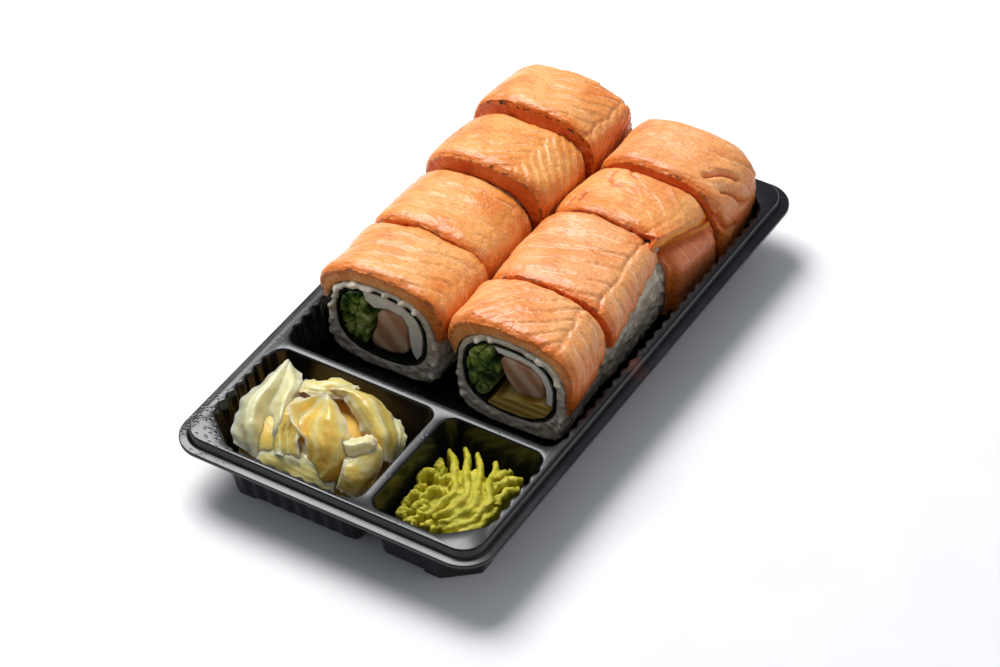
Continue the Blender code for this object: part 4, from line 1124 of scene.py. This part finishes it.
def smooth_line(points, share):
    """Point at a share of a smooth line through some points."""
    spots = [Vector(p) for p in points]
    spots = [spots[0] * 2 - spots[1]] + spots + [spots[-1] * 2 - spots[-2]]
    run = share * (len(points) - 1)
    k = min(int(run), len(points) - 2)
    t = run - k
    a, b, c, d = spots[k:k + 4]
    return 0.5 * (2 * b + (c - a) * t + (2 * a - 5 * b + 4 * c - d) * t ** 2
                  + (3 * b - a - 3 * c + d) * t ** 3)


def leaf_grids(guides, sheet, shift, pleats, long_steps=56, wide_steps=40):
    """Both faces of a sheet through guide lines, and how amber it is, with painted shade deeper in
    folds and low down.
    """
    lines = [[smooth_line(g, i / long_steps) for i in range(long_steps + 1)] for g in guides]
    middle = np.array([[smooth_line([line[i] for line in lines], j / wide_steps)
                        for j in range(wide_steps + 1)] for i in range(long_steps + 1)])
    out = np.cross(np.gradient(middle, axis=0), np.gradient(middle, axis=1))
    out /= np.maximum(np.linalg.norm(out, axis=2, keepdims=True), 1e-9)
    if out[..., 2].mean() < 0:
        out = -out
    run = np.linspace(0, 1, long_steps + 1)[:, None]
    swing = np.abs(np.linspace(-1, 1, wide_steps + 1))[None, :]
    rim = np.maximum(swing, np.abs(2 * run - 1)) ** 6
    across = np.linspace(0, 1, wide_steps + 1)[None, :]
    pleat = 1 - 2 * np.abs(np.sin(9 * across + 1.6 * np.sin(3 * run + shift) + shift))
    ruffle = pleats * pleat * np.clip(run * 2, 0.2, 1) + lumps(middle, 6.0, shift) * 0.7
    ruffle -= 0.1 * np.abs(np.sin(24 * across + 2.2 * lumps(middle, 7.0, shift + 5)))
    ruffle += lumps(middle, 2.4, shift) * 0.22 + lumps(middle, 1.2, shift + 3) * 0.1
    ruffle += rim * (0.35 * np.sin(16 * run + 3 * shift) + 0.25 * np.sin(37 * run + shift))
    # Painted shade: the amber deepens in the valleys of the pleats and towards the bottom of the
    # pile
    low = np.clip((25 - middle[..., 2]) / 12, 0, 1)
    thin = sheet * (1 - 0.6 * rim)
    raised = middle + out * (ruffle + thin / 2)[..., None]
    return raised, raised - out * thin[..., None], (1 - rim) * (0.75 - 0.25 * pleat + 0.5 * low)


def heap(middle, reach, low, high, sides=48, levels=9):
    """Points and faces of a low square-shouldered heap."""
    points = []
    for level in range(levels):
        swing = math.pi / 2 * level / levels
        spread, rise = math.cos(swing) ** (2 / 3), math.sin(swing) ** (2 / 3)
        for side in range(sides):
            c, s = (f(2 * math.pi * side / sides) for f in (math.cos, math.sin))
            x = middle[0] + reach[0] * spread * math.copysign(abs(c) ** (2 / 3), c)
            y = middle[1] + reach[1] * spread * math.copysign(abs(s) ** (2 / 3), s)
            points.append((x, y, low + (high - low) * rise))
    points.append((middle[0], middle[1], high))
    faces = band_faces(0, levels, sides)
    last = (levels - 1) * sides
    faces += [(last + s, last + (s + 1) % sides, levels * sides) for s in range(sides)]
    faces.append(tuple(reversed(range(sides))))
    return points, faces


# Pickled ginger: wet, see-through slices, cream at their thin rims and amber where they are
# thick, with a deeper amber painted as shade in their folds and low down
pickled_ginger, tree, place = new_material("pickled_ginger")
rim = add(tree, "Attribute", attribute_name="thickness").outputs["Fac"]
run = add(tree, "Attribute", attribute_name="fibre").outputs["Vector"]
strands = add(tree, "TexNoise", {"Vector": run, "Scale": 1.0, "Detail": 4.0, "Roughness": 0.6})
veins = add(tree, "TexNoise", {"Vector": place, "Scale": 110.0, "Detail": 3.0, "Distortion": 0.6})
fibre = add(tree, "TexNoise", {"Vector": place, "Scale": 700.0, "Detail": 2.0})
cloudy = add(tree, "Math", {0: veins, 1: 0.4, 2: 0.12}, operation="MULTIPLY_ADD")
cloudy = add(tree, "Math", {0: strands, 1: 0.25, 2: cloudy}, operation="MULTIPLY_ADD")
# The amber share, with its painted shade in folds and low down, clouded by veins and strands
amber = add(tree, "Math", {0: rim, 1: cloudy}, operation="MULTIPLY")
root = add(tree, "ValToRGB", {"Fac": amber},
           ((0.04, "#fdebbc"), (0.18, "#f9dd9a"), (0.34, "#f0c565"), (0.52, "#e0a63c")))
wrinkle = add(tree, "Math", {0: strands, 1: 1.5, 2: fibre}, operation="MULTIPLY_ADD")
relief = add(tree, "Bump", {"Strength": 0.5, "Distance": 0.25 * MM, "Height": wrinkle})
shader = add(tree, "BsdfPrincipled", {
    "Base Color": root, "Roughness": 0.33, "Normal": relief, "IOR": 1.4,
    "Subsurface Weight": 0.8, "Subsurface Radius": (1.0, 0.78, 0.4), "Subsurface Scale": 3.0 * MM,
    "Coat Weight": 0.3, "Coat Roughness": 0.14})
add(tree, "OutputMaterial", {"Surface": shader})

points, faces, thickness, fibres = [], [], [], []
base = 0
for number, (amber_share, pleats, guides) in enumerate(LEAVES):
    upper, lower, thick = leaf_grids(guides, GINGER_SHEET, number * 1.7, pleats)
    shell_points, shell_faces, i, j, _ = block_skin(upper, lower, 1)
    points.append(shell_points)
    faces += (shell_faces + base).tolist()
    thickness.append(thick[i, j] * amber_share)
    fibres.append(np.stack((j * 0.45, i * 0.05, np.full(len(i), number * 7.0)), axis=1))
    base += len(shell_points)
heap_points, heap_faces = heap(middle=(-18.8, -69.8), reach=(23.2, 17.4), low=2.6, high=22.0)
heap_points = np.array(heap_points)
heap_points += (lumps(heap_points, 5.0) * 1.2 * (heap_points[:, 2] > 3))[:, None] * (0.3, 0.3, 1)
points.append(heap_points)
thickness.append(np.full(len(heap_points), 0.8))
fibres.append(heap_points * 0.3)
faces += [tuple(base + i for i in face) for face in heap_faces]
ginger = new_piece("ginger_slices", kept_in(np.vstack(points), "ginger"), faces, pickled_ginger)
ginger.data.set_sharp_from_angle(angle=math.radians(55))
layer = ginger.data.attributes.new("thickness", "FLOAT", "POINT")
layer.data.foreach_set("value", np.concatenate(thickness).astype(np.float32))
layer = ginger.data.attributes.new("fibre", "FLOAT_VECTOR", "POINT")
layer.data.foreach_set("vector", np.vstack(fibres).astype(np.float32).ravel())
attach(ginger, "root")
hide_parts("ginger")


# Wasabi: green horseradish paste, piped through a star nozzle in a sweep of ridges that runs
# from the back to the front, with short curls and crumbs at its left.

RIDGE_RADIUS, CURL_RADIUS = 1.25, 1.05
PASTE_FLOOR = 2.8
PASTE_VOXEL = 0.34
# Lines along the middle of each ridge and curl
RIDGES = (
    ((17.4, -53.6, 14.6), (20.6, -56.9, 15.4), (25.2, -63, 16), (27.9, -67.3, 16.5),
     (28.8, -72, 16.5), (27.7, -76, 16), (25.5, -79.9, 14)),
    ((21.2, -51.2, 15), (25.3, -56.6, 15.8), (29.6, -63.4, 17), (33.1, -69.5, 17.5),
     (32.8, -73.6, 17), (30.8, -77.1, 16), (28.3, -79.9, 14.5)),
    ((25.7, -50.9, 15), (30.4, -58, 16.2), (35, -66, 17.5), (36.7, -70.8, 17.5), (36.5, -74.9, 17),
     (33.9, -78.1, 16), (30.5, -80.9, 14.5)),
    ((31.9, -51.8, 14.6), (34, -55.4, 15.4), (35.8, -61, 16.5), (37.9, -65.1, 17),
     (40.1, -68.6, 17), (40.2, -72.3, 16.5), (39.2, -76.4, 16), (36.2, -79.5, 15),
     (32.5, -82.2, 13.5)),
    ((42.3, -68, 15), (42.3, -72.8, 15.5), (41.2, -77.5, 15), (38, -81.2, 14.5), (34, -83.9, 13)),
    ((25.1, -60.2, 14.5), (27.9, -64.4, 15.5), (29.9, -67.9, 15.8), (31.2, -71.3, 15.6),
     (30, -75.6, 15)),
    ((28.9, -57.6, 15), (32.5, -64, 16.4), (34.9, -68.9, 16.6), (34.8, -73.4, 16),
     (32.5, -77.2, 15)),
    ((35.7, -63.9, 16), (38.4, -70.1, 16.5), (38, -74.6, 16), (35.3, -78.6, 15),
     (31.5, -81.8, 13.6)),
    ((42.9, -53.9, 14.5), (40, -56.2, 16), (38.6, -59.3, 16), (37.1, -62.9, 15)),
    ((43.9, -57.5, 14.5), (41.8, -60.1, 15.5), (41, -63.4, 15.5), (41.4, -66.4, 14.5)),
    ((37.9, -51.6, 13.6), (36.4, -54.1, 15), (36.6, -57.9, 15.5)),
)
CURLS = (
    ((16.8, -69.6, 14.5), (16.2, -67.2, 15.8), (17.6, -65, 16), (19.8, -64.7, 15.6),
     (20.8, -66.4, 14.4)),
    ((21.5, -66.4, 14.6), (23.4, -64.6, 16.2), (25.9, -65.1, 16.2), (26.6, -67.6, 15)),
    ((22.4, -74.6, 14.5), (21.8, -72.2, 15.7), (24, -70.4, 16.2), (26.8, -70.8, 15.5)),
    ((17.6, -77.2, 14), (17.8, -74.9, 15.2), (20, -73.9, 15.2), (21.9, -75.6, 14)),
    ((16.8, -73, 13.5), (18, -70.9, 14.7), (19.6, -68.8, 14)),
    ((16.6, -61.3, 13.6), (19, -61.5, 14.8), (21.3, -63.1, 14)),
    ((17, -57.3, 13.6), (17.6, -59.5, 14.2), (20.6, -60.7, 14)),
    ((16.4, -75.9, 13), (17.6, -77.9, 14), (18, -80.3, 13.5)),
    ((20.8, -80.9, 14), (22, -77.6, 15.2), (23.6, -75.1, 15)),
    ((24.2, -82.2, 14), (24, -79.2, 14.8), (25.2, -76.9, 14.5)),
    ((17.2, -82.7, 13), (18.9, -80.8, 14.2), (20.4, -82.9, 13.5)),
    ((20.9, -84.4, 13), (23.1, -83.2, 14.2), (24.6, -84.9, 13.4)),
    ((26.2, -83.6, 13.2), (28.6, -82, 14.4), (31, -83.9, 13.2)),
)


def ridge(points, faces, line, radius, wave, steps=30, sides=12):
    """Adds a strand of paste along a line, filled down to the floor of the pocket."""
    base = len(points)
    for k in range(steps + 1):
        share = k / steps
        here = smooth_line(line, share)
        ahead = smooth_line(line, min(1, share + 0.02)) - smooth_line(line, max(0, share - 0.02))
        side = ahead.cross(Vector((0, 0, 1))).normalized()
        sway, rise = 0.35 * math.sin(wave + 17 * share), 0.3 * math.sin(2 * wave + 23 * share)
        here += side * sway + Vector((0, 0, rise))
        reach = radius * (0.55 + 0.45 * math.sin(math.pi * share) ** 0.6)
        for a in (2 * math.pi * i / sides for i in range(sides)):
            spot = here + side * math.cos(a) * reach
            on_top = math.sin(a) > -0.3
            spot.z = here.z - reach + math.sin(a) * reach * 1.15 if on_top else PASTE_FLOOR
            points.append(tuple(spot))
    faces += band_faces(base, steps + 1, sides)
    faces.append(tuple(base + i for i in reversed(range(sides))))
    faces.append(tuple(base + steps * sides + i for i in range(sides)))


# Wasabi paste: dull, grainy and yellow green, in tones that vary at random
wasabi_paste, tree, place = new_material("wasabi_paste")
grain = add(tree, "TexNoise", {"Vector": place, "Scale": 1100.0, "Detail": 4.0, "Roughness": 0.7})
tone = add(tree, "TexNoise", {"Vector": place, "Scale": 260.0, "Detail": 3.0})
paste = add(tree, "ValToRGB", {"Fac": tone},
            ((0.3, "#9d9a1e"), (0.5, "#bab02c"), (0.72, "#cfc245")))
relief = add(tree, "Bump", {"Strength": 0.6, "Distance": 0.3 * MM, "Height": grain})
shader = add(tree, "BsdfPrincipled", {
    "Base Color": paste, "Roughness": 0.5, "Normal": relief, "IOR": 1.4,
    "Subsurface Weight": 0.25, "Subsurface Radius": (0.8, 0.9, 0.25), "Subsurface Scale": 1.0 * MM})
add(tree, "OutputMaterial", {"Surface": shader})

points, faces = [], []
draw = random.Random(3)
for line in RIDGES:
    ridge(points, faces, line, RIDGE_RADIUS, draw.uniform(0, 6))
for line in CURLS:
    ridge(points, faces, line, CURL_RADIUS, draw.uniform(0, 6), steps=16)
base = len(points)
heap_points, heap_faces = heap(middle=(30.4, -68.8), reach=(13.6, 15.6), low=2.7, high=13.6)
points += heap_points
faces += [tuple(base + i for i in face) for face in heap_faces]
wasabi = new_piece("piped_wasabi", kept_in(np.array(points), "wasabi"), faces, wasabi_paste)
fuse(wasabi, PASTE_VOXEL)
skin = wasabi.data
normals = [v.normal.copy() for v in skin.vertices]
for vert, normal in zip(skin.vertices, normals):
    grit = noise.noise(vert.co / (0.9 * MM)) * 0.22 + noise.noise(vert.co / (2.6 * MM)) * 0.35
    vert.co += normal * grit * MM
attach(wasabi, "root")
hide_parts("wasabi")


# Floor and light: a plain pale floor and soft studio light. The main light is a large soft
# panel above and behind the tray, so the fronts of the rolls stay in shade.

pale_floor, tree, place = new_material("pale_floor")
speckle = add(tree, "TexNoise", {"Vector": place, "Scale": 30.0})
pale = add(tree, "ValToRGB", {"Fac": speckle}, ((0.3, "#f0f0f0"), (0.7, "#f4f4f4")))
shader = add(tree, "BsdfPrincipled", {"Base Color": pale, "Roughness": 0.7})
add(tree, "OutputMaterial", {"Surface": shader})
FLOOR_REACH = 3000.0
floor = new_piece("floor", [(x * FLOOR_REACH, y * FLOOR_REACH, 0) for x, y in SQUARE],
                  [(0, 1, 2, 3)], pale_floor, smooth=False)

tray_middle = Vector((0.0, 0.0, 0.02))
for name, spot, size, power in (("key_panel", (-0.52, 0.26, 0.92), 0.62, 14.5),
                                ("side_fill", (1.0, 0.2, 0.6), 0.8, 1.7)):
    lamp = bpy.data.lights.new(name, "AREA")
    lamp.shape = "SQUARE"
    lamp.size = size
    lamp.energy = power
    light = bpy.data.objects.new(name, lamp)
    light.location = spot
    light.rotation_euler = (Vector(spot) - tray_middle).to_track_quat("Z", "Y").to_euler()
    scene.collection.objects.link(light)
world = bpy.data.worlds.new("studio")
world.use_nodes = True
world.node_tree.nodes["Background"].inputs["Color"].default_value = linear("#eaf0fb")
world.node_tree.nodes["Background"].inputs["Strength"].default_value = 0.3
scene.world = world
scene.view_settings.view_transform = "Standard"
